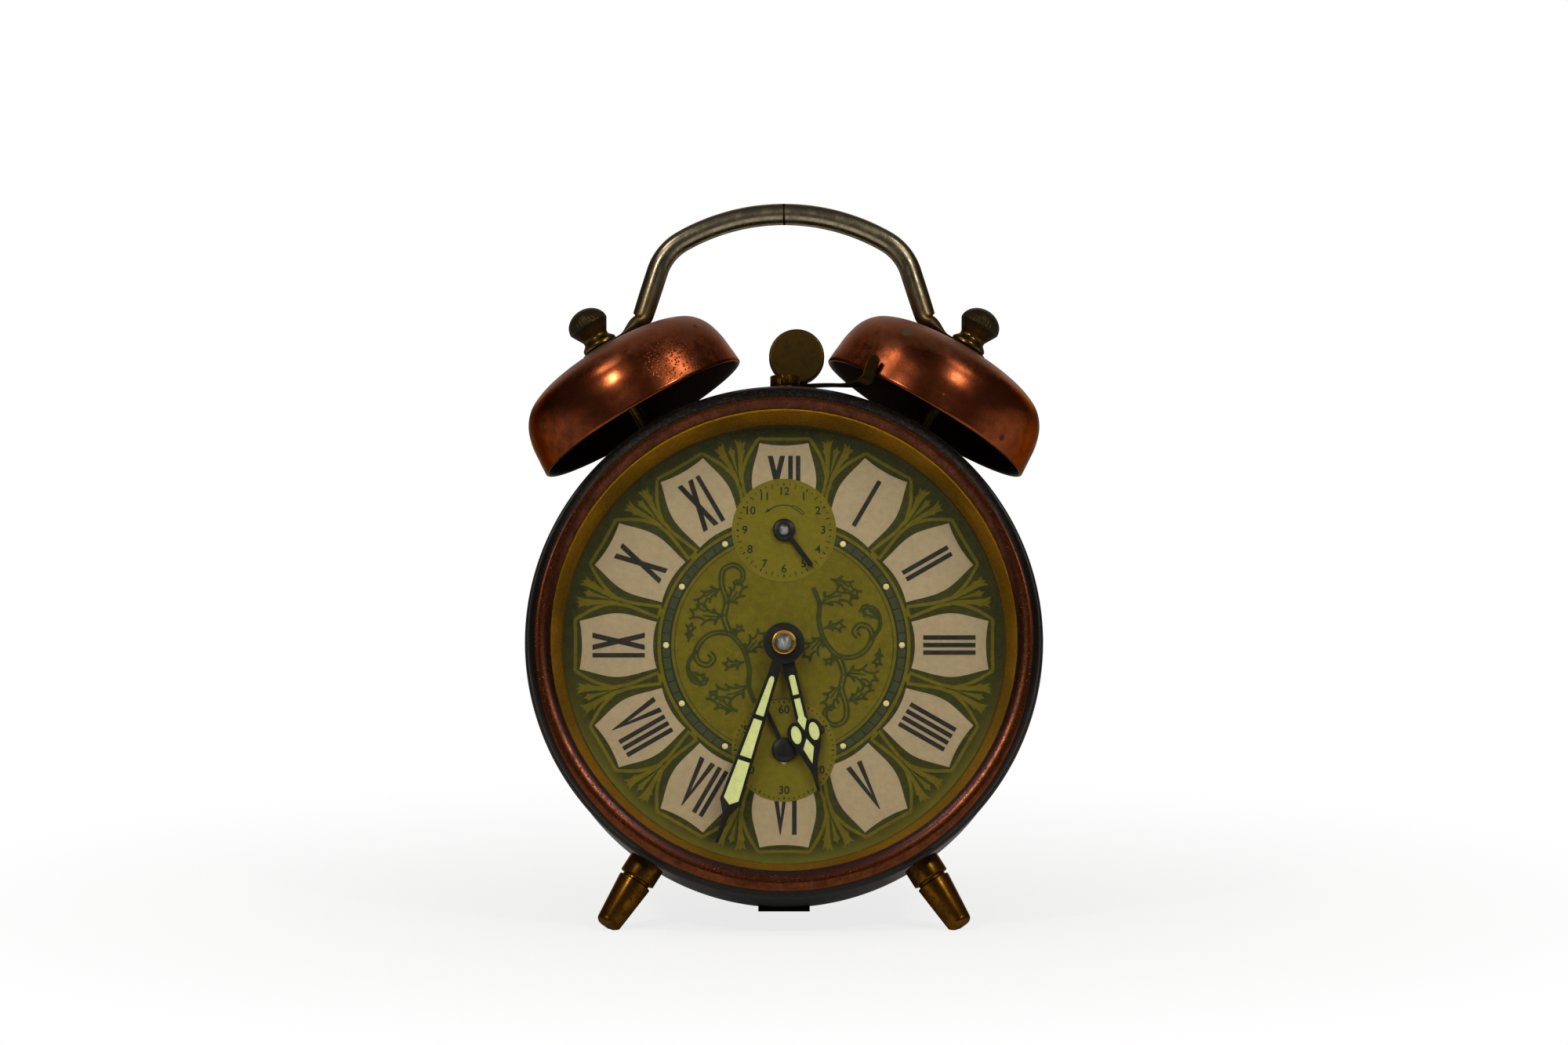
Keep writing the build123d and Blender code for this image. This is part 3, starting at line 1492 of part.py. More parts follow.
def make_silencer_screw():
    lever_top = lever_bottom + lever_thickness
    sleeve_start = drum_radius_at(lever_pivot_depth - silencer_sleeve_radius) + seat_gap
    inner_end = drum_radius_at(lever_pivot_depth) - drum_wall - silencer_inner_length
    head_start = lever_top + seat_gap
    screw = stepped([
        (silencer_shank_radius, inner_end, sleeve_start),
        (silencer_sleeve_radius, sleeve_start, lever_bottom - seat_gap),
        (silencer_shank_radius, lever_bottom - seat_gap, head_start),
        (silencer_head_radius, head_start, head_start + silencer_head_height),
    ])
    head_top = head_start + silencer_head_height
    slot = Box(silencer_head_radius * 3, screw_slot_depth * 2, screw_slot_width)
    screw -= Pos(0, head_top, 0) * Rot(0, 90, 0) * slot
    return Pos(lever_pivot_x, 0, 0) * radial(screw, 0, lever_pivot_depth)


def make_silencer_nut():
    outer_face = drum_radius_at(lever_pivot_depth + silencer_nut_radius) - drum_wall - seat_gap
    nut_start = outer_face - silencer_nut_height
    nut = hexagon_nut(silencer_nut_radius, silencer_shank_radius + running_fit, nut_start, silencer_nut_height)
    return Pos(lever_pivot_x, 0, 0) * radial(nut, 0, lever_pivot_depth)


# Back of the clock
def make_back_cover():
    rim_back = cover_front + cover_thickness
    field_front = cover_front + cover_field_rise
    cover = turned(outline([
        (0, field_front),
        (cover_field_radius - cover_thickness, field_front),
        (cover_step_radius - cover_thickness, cover_front),
        (cover_radius, cover_front),
        (cover_radius, rim_back),
        (cover_step_radius, rim_back),
        (cover_field_radius, cover_back),
        (0, cover_back),
    ]))
    holes = [
        (winding_pivot_radius + cover_hole_ease, great_at),
        (winding_pivot_radius + cover_hole_ease, alarm_great_at),
        (centre_arbor_radius + cover_hole_ease, centre_at),
        (alarm_arbor_radius + cover_hole_ease, alarm_at),
    ]
    for bearing in cover_screw_bearings:
        holes.append((cover_screw_radius + hole_ease, away(centre_at, cover_screw_ring_radius, bearing)))
    for radius, at in holes:
        cover -= rod(radius, cover_front - cut_overrun, cover_back + cut_overrun, at)
    swing = regulator_swing + math.degrees(cover_hole_ease / regulator_arm_length)
    slot_arc = CenterArc((0, 0), regulator_arm_length, regulator_bearing - swing, swing * 2)
    slot = SlotArc(slot_arc, (regulator_tip_radius + cover_hole_ease) * 2)
    cover -= Pos(balance_at[0], 0, balance_at[1]) * cut_from_front(
        slot, cover_front - cut_overrun, cover_back - cover_front + cut_overrun * 2)
    return cover


def make_cover_screws():
    screws = []
    head_start = cover_front + cover_thickness
    for bearing in cover_screw_bearings:
        at = away(centre_at, cover_screw_ring_radius, bearing)
        screw = stepped([
            (cover_screw_radius, head_start - cover_screw_length, head_start),
            (cover_screw_head_radius, head_start, head_start + cover_screw_head_height),
        ], at)
        slot = Box(cover_screw_head_radius * 3, screw_slot_depth * 2, screw_slot_width)
        slot = Rot(0, bearing, 0) * slot
        screw -= Pos(at[0], head_start + cover_screw_head_height, at[1]) * slot
        screws.append(screw)
    return screws


def make_winding_key(at):
    boss = rod(key_boss_radius, key_boss_front, key_boss_front + key_boss_length)
    wing = outline([
        (-key_wing_half, key_wing_front + key_wing_waist),
        (-key_wing_half, key_wing_back),
        (-key_wing_waist, key_wing_back - key_wing_waist),
        (key_wing_waist, key_wing_back - key_wing_waist),
        (key_wing_half, key_wing_back),
        (key_wing_half, key_wing_front + key_wing_waist),
        (key_wing_waist, key_wing_front),
        (-key_wing_waist, key_wing_front),
    ])
    tips = wing.vertices().filter_by(lambda corner: abs(corner.X) > key_wing_half - key_wing_waist)
    wing = fillet(tips, key_wing_rounding)
    wing_solid = extrude(wing, amount=key_wing_thickness / 2, both=True)
    key = boss + wing_solid
    key -= rod(winding_pivot_radius + seat_gap / 2, 0, key_boss_front + key_bore_depth)
    return Pos(at[0], 0, at[1]) * key


def make_knob(shaft_radius, at):
    knob = rod(knob_radius, knob_front, knob_front + knob_length)
    knob = fillet(knob.edges().filter_by(GeomType.CIRCLE), knob_knurl_radius)
    knurl = rod(knob_knurl_radius, knob_front - cut_overrun, knob_front + knob_length + cut_overrun)
    for number in range(knob_knurls):
        knob -= Rot(0, number * 360 / knob_knurls, 0) * Pos(knob_radius, 0, 0) * knurl
    knob -= rod(shaft_radius + seat_gap / 2, 0, knob_front + knob_bore_depth)
    return Pos(at[0], 0, at[1]) * knob


def make_regulator_lever():
    front = back_plate_back + regulator_offset
    tip = away((0, 0), regulator_arm_length, regulator_bearing)
    ring = Circle(regulator_ring_radius)
    sketch = ring + flat_bar((0, 0), tip, regulator_arm_width) - Circle(regulator_boss_radius + running_fit)
    lever = cut_from_front(sketch, front, regulator_thickness)
    lever += rod(regulator_tip_radius, front, regulator_tip_back, tip)
    return Pos(balance_at[0], 0, balance_at[1]) * lever


# Every piece by its name, still upright in the clock frame
post = make_bell_post()
bell = make_bell()
cap_nut = make_cap_nut()
foot = make_foot()
post_nut = case_nut(bell_depth, post_radius + running_fit)
foot_nut = case_nut(foot_depth, foot_stud_radius + running_fit)
pieces = {
    "drum": [make_drum()],
    "bezel": [make_bezel()],
    "crystal": [make_crystal()],
    "reflector_ring": [make_reflector_ring()],
    "dial": [make_dial()],
    "back_cover": [make_back_cover()],
    "back_cover_screws": make_cover_screws(),
    "left_bell": [radial(bell, -bell_tilt, bell_depth)],
    "right_bell": [radial(bell, bell_tilt, bell_depth)],
    "left_bell_post": [radial(post, -bell_tilt, bell_depth)],
    "right_bell_post": [radial(post, bell_tilt, bell_depth)],
    "left_bell_nut": [radial(cap_nut, -bell_tilt, bell_depth)],
    "right_bell_nut": [radial(cap_nut, bell_tilt, bell_depth)],
    "bell_post_nuts": [radial(post_nut, tilt, bell_depth) for tilt in (-bell_tilt, bell_tilt)],
    "handle": [make_handle()],
    "left_foot": [radial(foot, -foot_tilt, foot_depth)],
    "right_foot": [radial(foot, foot_tilt, foot_depth)],
    "foot_nuts": [radial(foot_nut, tilt, foot_depth) for tilt in (-foot_tilt, foot_tilt)],
    "rear_rest": [make_rear_rest()],
    "front_plate": [make_front_plate()],
    "back_plate": [make_back_plate()],
    "plate_pillars": make_plate_pillars(),
    "pillar_nuts": make_pillar_nuts(),
    "dial_posts": make_dial_posts(),
    "silencer_lever": [make_silencer_lever()],
    "silencer_screw": [make_silencer_screw(), make_silencer_nut()],
    "hammer_arm": [make_hammer_arm()],
    "hammer_head": [make_hammer_head()],
    "centre_arbor": [make_centre_arbor()],
    "centre_wheel": [make_centre_wheel()],
    "cannon_pinion": [make_cannon_pinion()],
    "minute_hand": [make_minute_hand()],
    "hand_nut": [make_hand_nut()],
    "time_set_knob": [make_knob(centre_arbor_radius, centre_at)],
    "minute_wheel": [make_minute_wheel()],
    "hour_wheel": [make_hour_wheel()],
    "hour_hand": [make_hour_hand()],
    "third_wheel": [make_third_wheel()],
    "fourth_wheel": [make_fourth_wheel()],
    "seconds_hand": [make_seconds_hand()],
    "escape_wheel": [make_escape_wheel()],
    "pallet_lever": [make_pallet_lever()],
    "balance_wheel": [make_balance_wheel()],
    "hairspring": [make_spring(
        hairspring_start_radius, hairspring_growth, hairspring_half_turns, hairspring_strip,
        inside(hairspring_offset), hairspring_height, balance_at, 180)],
    "regulator_lever": [make_regulator_lever()],
    "great_wheel": [make_spring_wheel(great_teeth, great_phase, great_at)],
    "time_click": [make_click(great_at, great_bearing)],
    "mainspring": [make_spring(
        mainspring_start_radius, mainspring_growth, mainspring_half_turns, mainspring_strip,
        inside(mainspring_offset), mainspring_width, great_at, 180)],
    "winding_arbor": [make_winding_arbor(great_at)],
    "winding_key": [make_winding_key(great_at)],
    "alarm_great_wheel": [make_spring_wheel(alarm_great_teeth, alarm_great_phase, alarm_great_at)],
    "alarm_click": [make_click(alarm_great_at, alarm_great_bearing)],
    "alarm_mainspring": [make_spring(
        mainspring_start_radius, mainspring_growth, alarm_spring_half_turns, mainspring_strip,
        inside(mainspring_offset), alarm_spring_width, alarm_great_at, 0)],
    "alarm_winding_arbor": [make_winding_arbor(alarm_great_at)],
    "alarm_winding_key": [make_winding_key(alarm_great_at)],
    "verge_wheel": [make_verge_wheel()],
    "alarm_arbor": [make_alarm_arbor()],
    "alarm_wheel": [make_alarm_wheel()],
    "alarm_hand": [make_alarm_hand()],
    "alarm_set_knob": [make_knob(alarm_arbor_radius, alarm_at)],
}

# Lean the clock back, cut what stands on the table level with it, and centre its box
lean = Rot(-lean_angle, 0, 0)
floor_size = foot_reach * 4
floor_block = Box(floor_size, floor_size, floor_size, align=(Align.CENTER, Align.CENTER, Align.MAX))
floor_block = Pos(0, 0, -table_drop()) * floor_block
standing = {}
for name, solids in pieces.items():
    standing[name] = [lean * solid for solid in solids]
for name in ("left_foot", "right_foot", "rear_rest"):
    standing[name] = [solid - floor_block for solid in standing[name]]

every_solid = [solid for solids in standing.values() for solid in solids]
depths = [(solid.bounding_box().min.Y, solid.bounding_box().max.Y) for solid in every_solid]
middle_depth = (min(low for low, high in depths) + max(high for low, high in depths)) / 2
placing = Pos(0, -middle_depth, table_drop())

for name, solids in standing.items():
    placed = [placing * solid for solid in solids]
    export_step(Compound(children=placed), "parts/" + name + ".step")

print_least_gap(
    "mainspring", mainspring_start_radius, mainspring_growth, mainspring_half_turns, mainspring_strip)
print_least_gap(
    "hairspring", hairspring_start_radius, hairspring_growth, hairspring_half_turns, hairspring_strip)
print(len(pieces), "nodes written")
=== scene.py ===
import json
import math

import bmesh
import bpy
import numpy as np
from mathutils import Matrix, Vector


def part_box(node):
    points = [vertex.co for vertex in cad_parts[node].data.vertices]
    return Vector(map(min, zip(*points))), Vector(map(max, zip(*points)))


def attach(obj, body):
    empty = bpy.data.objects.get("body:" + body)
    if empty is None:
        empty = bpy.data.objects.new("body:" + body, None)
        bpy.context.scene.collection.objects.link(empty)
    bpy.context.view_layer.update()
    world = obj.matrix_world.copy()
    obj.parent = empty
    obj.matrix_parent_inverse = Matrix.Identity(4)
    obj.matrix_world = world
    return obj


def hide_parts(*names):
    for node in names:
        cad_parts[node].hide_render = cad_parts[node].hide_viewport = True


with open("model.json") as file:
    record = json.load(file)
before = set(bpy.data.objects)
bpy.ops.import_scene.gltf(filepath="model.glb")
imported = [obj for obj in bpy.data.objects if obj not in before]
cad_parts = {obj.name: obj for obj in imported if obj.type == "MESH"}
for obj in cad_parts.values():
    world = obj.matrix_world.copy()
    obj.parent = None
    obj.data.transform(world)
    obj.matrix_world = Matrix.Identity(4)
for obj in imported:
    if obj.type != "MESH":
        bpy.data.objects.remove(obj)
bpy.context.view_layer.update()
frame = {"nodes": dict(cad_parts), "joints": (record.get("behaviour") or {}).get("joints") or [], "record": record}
print("frame loaded:", len(frame["nodes"]), "nodes")

# The clock's own directions, read from the joint that turns the minute hand. Shapes are worked out upright,
# in mm from the middle of the bezel's plane: right, back into the case and up.
mm = 0.001
minuteTurn = next(joint for joint in frame["joints"] if joint["name"] == "minute_turn")
jointDepth = 23.0
backward = np.array(minuteTurn["axis"], float)
backward *= math.copysign(1.0, backward[1])
across = np.array((1.0, 0.0, 0.0))
upward = np.cross(across, backward)
origin = np.array(minuteTurn["pos_m"], float) - backward * jointDepth * mm
leanBack = math.atan2(-backward[2], backward[1])
weldGap = 1e-7
mirror = np.array((-1.0, 1.0))
sides = (("left", -1), ("right", 1))


def toRow(points):
    # origin + right * across + depth * backward + height * upward, in metres
    points = np.asarray(points, float)
    return origin + mm * (points[..., :1] * across + points[..., 1:2] * backward + points[..., 2:3] * upward)


# Shader maths
def paint(red, green, blue):
    # the colour of a swatch given in 0 to 255, made linear
    levels = np.array((red, green, blue), float) / 255
    linear = np.where(levels <= 0.04045, levels / 12.92, ((levels + 0.055) / 1.055) ** 2.4)
    return tuple(float(level) for level in linear)


class Wire:
    # a node's output; a sum, a difference or a product with it adds a Math node
    def __init__(self, recipe, socket):
        self.recipe, self.socket = recipe, socket

    def maths(self, operation, first, second):
        return self.recipe.node("ShaderNodeMath", {"operation": operation}, {0: first, 1: second})

    def __add__(self, other):
        return self.maths("ADD", self, other)

    def __sub__(self, other):
        return self.maths("SUBTRACT", self, other)

    def __rsub__(self, other):
        return self.maths("SUBTRACT", other, self)

    def __mul__(self, other):
        return self.maths("MULTIPLY", self, other)

    __radd__ = __add__
    __rmul__ = __mul__


class Recipe:
    # a material, or the world, and the nodes that make it
    def __init__(self, name, world=None):
        self.material = world or bpy.data.materials.new(name)
        self.material.use_nodes = True
        self.tree = self.material.node_tree
        self.tree.nodes.clear()
        if not world:
            self.place = self.inClock((0, 0, 0))

    def node(self, kind, settings, sockets, output=0):
        # a new node with its settings, whose inputs are wires or plain values; gives back one of its outputs
        made = self.tree.nodes.new(kind)
        for name, value in settings.items():
            setattr(made, name, value)
        for key, value in sockets.items():
            socket = made.inputs[key]
            if isinstance(value, Wire):
                self.tree.links.new(value.socket, socket)
            elif isinstance(value, tuple) and len(value) < len(socket.default_value):
                socket.default_value = (*value, 1.0)
            else:
                socket.default_value = value
        return Wire(self, made.outputs[output]) if len(made.outputs) else None

    def inClock(self, centre, turn=(0, 0), stretch=(1, 1, 1)):
        # Object coordinates brought to mm about a point of the clock, in the clock's directions, then turned
        objectPlace = self.node("ShaderNodeTexCoord", {}, {}, "Object")
        spin = Matrix.Rotation(-leanBack, 3, "X")
        for axis, angle in zip("YZ", turn):
            spin = spin @ Matrix.Rotation(angle, 3, axis)
        return self.node("ShaderNodeMapping", {"vector_type": "TEXTURE"}, {
            "Vector": objectPlace,
            "Location": tuple(toRow(np.array(centre, float))),
            "Rotation": tuple(spin.to_euler("XYZ")),
            "Scale": tuple(mm * share for share in stretch),
        })

    def noise(self, scale, detail=3.0, roughness=0.55, place=None, twist=0.0):
        # a cloudy pattern from 0 to 1, with about as many clouds to a mm as the scale says
        return self.node("ShaderNodeTexNoise", {}, {
            "Vector": place or self.place, "Scale": scale, "Detail": detail,
            "Roughness": roughness, "Distortion": twist,
        })

    def pitting(self, scale):
        # the distance to the nearest of many scattered points
        return self.node("ShaderNodeTexVoronoi", {}, {
            "Vector": self.place, "Scale": scale, "Randomness": 1.0})

    def spread(self, value, low, high):
        # 0 at low, 1 at high, straight between
        sockets = {"Value": value, "From Min": low, "From Max": high}
        return self.node("ShaderNodeMapRange", {"clamp": True}, sockets)

    def mixed(self, factor, first, second):
        # the first colour at 0, the second at 1
        return self.node("ShaderNodeMix", {"data_type": "RGBA"}, {0: factor, 6: first, 7: second}, 2)

    def part(self, vector, axis):
        # one of a vector's three numbers
        return self.node("ShaderNodeSeparateXYZ", {}, {"Vector": vector}, axis)

    def vector(self, operation, first, second, output=0):
        return self.node("ShaderNodeVectorMath", {"operation": operation}, {0: first, 1: second}, output)

    def distance(self, first, second):
        # the straight distance between two places
        return self.vector("DISTANCE", first, second, 1)

    def ringRadius(self):
        # how far a place lies from the clock's own axis
        return self.distance(self.vector("MULTIPLY", self.place, (1.0, 0.0, 1.0)), (0.0, 0.0, 0.0))

    def upness(self):
        # the way a face looks, and the share of it that is the clock's up
        facing = self.node("ShaderNodeNewGeometry", {}, {}, "Normal")
        return facing, self.vector("DOT_PRODUCT", facing, tuple(upward), 1)

    def rays(self):
        # three wires that are 1 on rays from the camera, off metal and through glass
        paths = self.tree.nodes.new("ShaderNodeLightPath")
        return [Wire(self, paths.outputs[f"Is {kind} Ray"]) for kind in ("Camera", "Glossy", "Transmission")]

    def bump(self, height, distance):
        # a surface that rises by a distance in mm where the height is 1
        return self.node("ShaderNodeBump", {}, {"Height": height, "Distance": distance * mm, "Strength": 1.0})

    def finish(self, **sockets):
        # one shader as the surface; in the name of a socket an underscore stands for a space
        names = {name.replace("_", " "): value for name, value in sockets.items()}
        shader = self.node("ShaderNodeBsdfPrincipled", {}, names)
        self.node("ShaderNodeOutputMaterial", {}, {"Surface": shader})
        return self.material

    def blend(self, share, first, second):
        # two shaders as the surface: the first where the share is 0, the second where it is 1
        both = self.node("ShaderNodeMixShader", {}, {0: share, 1: first, 2: second})
        self.node("ShaderNodeOutputMaterial", {}, {"Surface": both})
        return self.material


# Surfaces on a grid
def gridFaces(rows, columns, wrapRows=False, wrapColumns=False):
    # one four-sided face for each step in both directions, wrapping round where the sheet closes
    row = np.arange(rows if wrapRows else rows - 1)[:, None]
    column = np.arange(columns if wrapColumns else columns - 1)[None, :]
    nextRow, nextColumn = (row + 1) % rows, (column + 1) % columns
    corners = (row * columns + column, row * columns + nextColumn,
               nextRow * columns + nextColumn, nextRow * columns + column)
    return np.stack(np.broadcast_arrays(*corners), -1).reshape(-1, 4).tolist()


def turned(profile, segments=180, centre=(0, 0, 0), axis=(0, 1, 0), side=(1, 0, 0), closed=True, shape=None):
    # centre + height * axis + radius * (cos a * side + sin a * third), for each (radius, height) of a profile
    profile = np.asarray(profile, float)
    axis, side = np.asarray(axis, float), np.asarray(side, float)
    third = np.cross(axis, side)
    angle = np.linspace(0, 2 * math.pi, segments, endpoint=False)[None, :]
    radius = np.repeat(profile[:, :1], segments, 1)
    height = np.repeat(profile[:, 1:], segments, 1)
    if shape is not None:
        radius = shape(radius, height, angle)
    points = (np.asarray(centre, float) + height[..., None] * axis
              + (radius * np.cos(angle))[..., None] * side + (radius * np.sin(angle))[..., None] * third)
    return points, gridFaces(len(profile), segments, closed, True)


def carried(path, wide, deep, wideReach, deepReach, sides=24, squareness=2.0):
    # a rounded section carried along a path: path + wideReach * |cos a|^(2/n) * wide
    # + deepReach * |sin a|^(2/n) * deep, where both powers keep the sign of their cos and sin
    angle = np.linspace(0, 2 * math.pi, sides, endpoint=False)
    power = 2.0 / squareness
    sideways = np.sign(np.cos(angle)) * np.abs(np.cos(angle)) ** power
    inward = np.sign(np.sin(angle)) * np.abs(np.sin(angle)) ** power
    path = np.asarray(path, float)
    wideReach = np.broadcast_to(wideReach, len(path))[:, None, None]
    deepReach = np.broadcast_to(deepReach, len(path))[:, None, None]
    points = (path[:, None] + wideReach * sideways[:, None] * np.asarray(wide)[:, None]
              + deepReach * inward[:, None] * np.asarray(deep)[:, None])
    last = (len(path) - 1) * sides
    faces = gridFaces(len(path), sides, False, True)
    return points, faces + [list(range(sides)), list(range(last, last + sides))]


def prism(outline, front, back):
    # a flat outline in right and up, carried straight back between two depths
    outline = np.asarray(outline, float)
    count = len(outline)
    ring = np.arange(count)
    points = np.zeros((2, count, 3))
    points[..., 0], points[..., 2] = outline[:, 0], outline[:, 1]
    points[0, :, 1], points[1, :, 1] = front, back
    sides = gridFaces(2, count, False, True)
    return points, sides + [ring.tolist(), (ring + count).tolist()]


def unit(vectors):
    # each vector divided by its own length
    vectors = np.asarray(vectors, float)
    return vectors / np.linalg.norm(vectors, axis=-1, keepdims=True)


def normals(line, loop=False):
    # square to a flat line at each of its points, on its left: the step ahead (x, z) turned to (-z, x)
    ahead = np.roll(line, -1, 0) - np.roll(line, 1, 0) if loop else np.gradient(line, axis=0)
    return unit(np.stack((-ahead[:, 1], ahead[:, 0]), 1))


def stroke(line, width, front, back, loop=False):
    # a drawn line given a width: line +- half the width * its normal, as a thin bar
    line = np.asarray(line, float)
    half = width / 2 * normals(line, loop)
    points = np.zeros((len(line), 4, 3))
    for corner, (sign, depth) in enumerate(((1, back), (1, front), (-1, front), (-1, back))):
        edge = line + sign * half
        points[:, corner, 0], points[:, corner, 1], points[:, corner, 2] = edge[:, 0], depth, edge[:, 1]
    last = (len(line) - 1) * 4
    ends = [] if loop else [[0, 1, 2, 3], [last, last + 1, last + 2, last + 3]]
    return points, gridFaces(len(line), 4, loop, True) + ends


def through(corners, steps=8):
    # a smooth line through chosen points: a cubic on each span whose end slopes are half the step across it
    corners = np.asarray(corners, float)
    before = np.vstack((2 * corners[:1] - corners[1:2], corners[:-1]))
    after = np.vstack((corners[1:], 2 * corners[-1:] - corners[-2:-1]))
    slope = (after - before) / 2
    share = np.linspace(0, 1, steps, endpoint=False)[None, :, None]
    start, stop = corners[:-1, None], corners[1:, None]
    leave, arrive = slope[:-1, None], slope[1:, None]
    line = ((2 * share**3 - 3 * share**2 + 1) * start + (share**3 - 2 * share**2 + share) * leave
            + (3 * share**2 - 2 * share**3) * stop + (share**3 - share**2) * arrive)
    return np.vstack((line.reshape(-1, corners.shape[1]), corners[-1:]))


def eased(corners, reach, steps=5):
    # a closed outline with its corners eased: each becomes a square-law curve that starts and ends a reach
    # away, or 0.45 of the side where that is less
    corners = np.asarray(corners, float)
    reach = np.broadcast_to(reach, len(corners))[:, None]
    before, after = np.roll(corners, 1, 0) - corners, np.roll(corners, -1, 0) - corners
    start, stop = (corners + unit(way) * np.minimum(reach, 0.45 * np.linalg.norm(way, axis=1)[:, None])
                   for way in (before, after))
    share = np.linspace(0, 1, steps)[None, :, None]
    curve = ((1 - share)**2 * start[:, None] + 2 * share * (1 - share) * corners[:, None]
             + share**2 * stop[:, None])
    return curve.reshape(-1, 2)


def bowed(start, stop, bulge, steps=14):
    # a line from start to stop that bows sideways by 4 * bulge * s * (1 - s)
    start, stop = np.asarray(start, float), np.asarray(stop, float)
    share = np.linspace(0, 1, steps)[:, None]
    along = unit(stop - start)
    return start + share * (stop - start) + 4 * bulge * share * (1 - share) * np.array((-along[1], along[0]))


def arcVia(start, via, stop, steps=18):
    # the circle through three points: its centre is where their middle lines cross, and the angle runs evenly
    start, via, stop = (np.asarray(point, float) for point in (start, via, stop))
    sides = np.array((via - start, stop - start))
    centre = np.linalg.solve(2 * sides, (sides * (sides + 2 * start)).sum(1))
    first, middle, last = (math.atan2(*(point - centre)[::-1]) for point in (start, via, stop))
    sweep = (last - first) % (2 * math.pi)
    if (middle - first) % (2 * math.pi) > sweep:
        sweep -= 2 * math.pi
    angle = first + sweep * np.linspace(0, 1, steps)
    reach = np.linalg.norm(start - centre)
    return centre + reach * np.stack((np.cos(angle), np.sin(angle)), 1)


def arc(radius, start, stop, steps=24, centre=(0, 0)):
    # points at a radius, from one clock angle to another, in degrees from the top
    angle = np.radians(np.linspace(start, stop, steps))
    return np.stack((centre[0] + radius * np.sin(angle), centre[1] + radius * np.cos(angle)), 1)


def ellipse(centre, half, start=0.0, stop=360.0, steps=29):
    # centre + (half width * cos a, half height * sin a), between two angles in degrees
    angle = np.radians(np.linspace(start, stop, steps))
    return np.stack((centre[0] + half[0] * np.cos(angle), centre[1] + half[1] * np.sin(angle)), 1)


def clockTurn(outline, degrees, centre=(0, 0)):
    # an outline drawn upright, turned clockwise and moved: centre + (x cos a + z sin a, z cos a - x sin a)
    angle = math.radians(degrees)
    outline = np.asarray(outline, float)
    return np.stack((
        centre[0] + outline[:, 0] * math.cos(angle) + outline[:, 1] * math.sin(angle),
        centre[1] - outline[:, 0] * math.sin(angle) + outline[:, 1] * math.cos(angle)), 1)


def fromShape(data):
    # a text or flat curve made a mesh, stood upright with its face towards the front
    holder = bpy.data.objects.new("shape", data)
    bpy.context.scene.collection.objects.link(holder)
    bpy.context.view_layer.update()
    mesh = bpy.data.meshes.new_from_object(holder)
    flat = np.zeros(len(mesh.vertices) * 3)
    mesh.vertices.foreach_get("co", flat)
    flat = flat.reshape(-1, 3)
    faces = [list(face.vertices) for face in mesh.polygons]
    bpy.data.objects.remove(holder)
    bpy.data.meshes.remove(mesh)
    return np.stack((flat[:, 0], -flat[:, 2], flat[:, 1]), 1), faces


def cutSheet(loops, front, thickness, bevel=0.0):
    # a sheet filled between its loops, outer ones anticlockwise, with rounded edges
    curve = bpy.data.curves.new("sheet", "CURVE")
    curve.dimensions, curve.fill_mode = "2D", "BOTH"
    curve.extrude, curve.offset = thickness / 2 - bevel, -bevel
    curve.bevel_depth, curve.bevel_resolution = bevel, 2
    for loop in loops:
        spline = curve.splines.new("POLY")
        spline.points.add(len(loop) - 1)
        spline.use_cyclic_u = True
        flat = np.zeros((len(loop), 4))
        flat[:, :2], flat[:, 3] = loop, 1
        spline.points.foreach_set("co", flat.ravel())
    points, faces = fromShape(curve)
    bpy.data.curves.remove(curve)
    return points + np.array((0, front + thickness / 2, 0)), faces


def figures(text, height, middle, front, back, weight=0.0):
    # plain numbers of a given height, 0.7 of the letter size, about a middle point
    writing = bpy.data.curves.new("figures", "FONT")
    writing.body, writing.align_x, writing.align_y = text, "CENTER", "CENTER"
    writing.size, writing.extrude, writing.offset = height / 0.7, (back - front) / 2, weight
    points, faces = fromShape(writing)
    bpy.data.curves.remove(writing)
    return points + np.array((middle[0], (front + back) / 2, middle[1])), faces


def makePiece(name, parts, body, material, replaced=(), sharpAngle=38.0):
    # joins the parts into one mesh, in metres, and dresses it
    points, faces, start = [], [], 0
    for partPoints, partFaces in parts:
        partPoints = np.asarray(partPoints, float).reshape(-1, 3)
        points.append(partPoints)
        faces.extend([[start + corner for corner in face] for face in partFaces])
        start += len(partPoints)
    mesh = bpy.data.meshes.new(name)
    mesh.from_pydata(toRow(np.vstack(points)).tolist(), [], faces)
    return ridePiece(name, mesh, body, material, replaced, sharpAngle)


def ridePiece(name, mesh, body, material, replaced, sharpAngle, outward=True):
    # closes a mesh's seams and poles, smooths it, gives it a finish and lets it ride on its body
    shell = bmesh.new()
    shell.from_mesh(mesh)
    bmesh.ops.remove_doubles(shell, verts=shell.verts, dist=weldGap)
    bmesh.ops.dissolve_degenerate(shell, edges=shell.edges, dist=weldGap)
    if outward:
        bmesh.ops.recalc_face_normals(shell, faces=shell.faces)
    shell.to_mesh(mesh)
    shell.free()
    mesh.shade_smooth()
    mesh.set_sharp_from_angle(angle=math.radians(sharpAngle))
    mesh.materials.clear()
    mesh.materials.append(material)
    piece = bpy.data.objects.new(name, mesh)
    bpy.context.scene.collection.objects.link(piece)
    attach(piece, body)
    if replaced:
        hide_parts(*replaced)
    return piece


bodyOf = {node: body for body, nodes in frame["record"]["behaviour"]["bodies"].items() for node in nodes}


def smoothed(node, name, material, sharpAngle=32.0):
    # a merged copy of a node with smooth round faces, which stands for it
    mesh = frame["nodes"][node].data.copy()
    mesh.name = name
    return ridePiece(name, mesh, bodyOf[node], material, (node,), sharpAngle, outward=False)


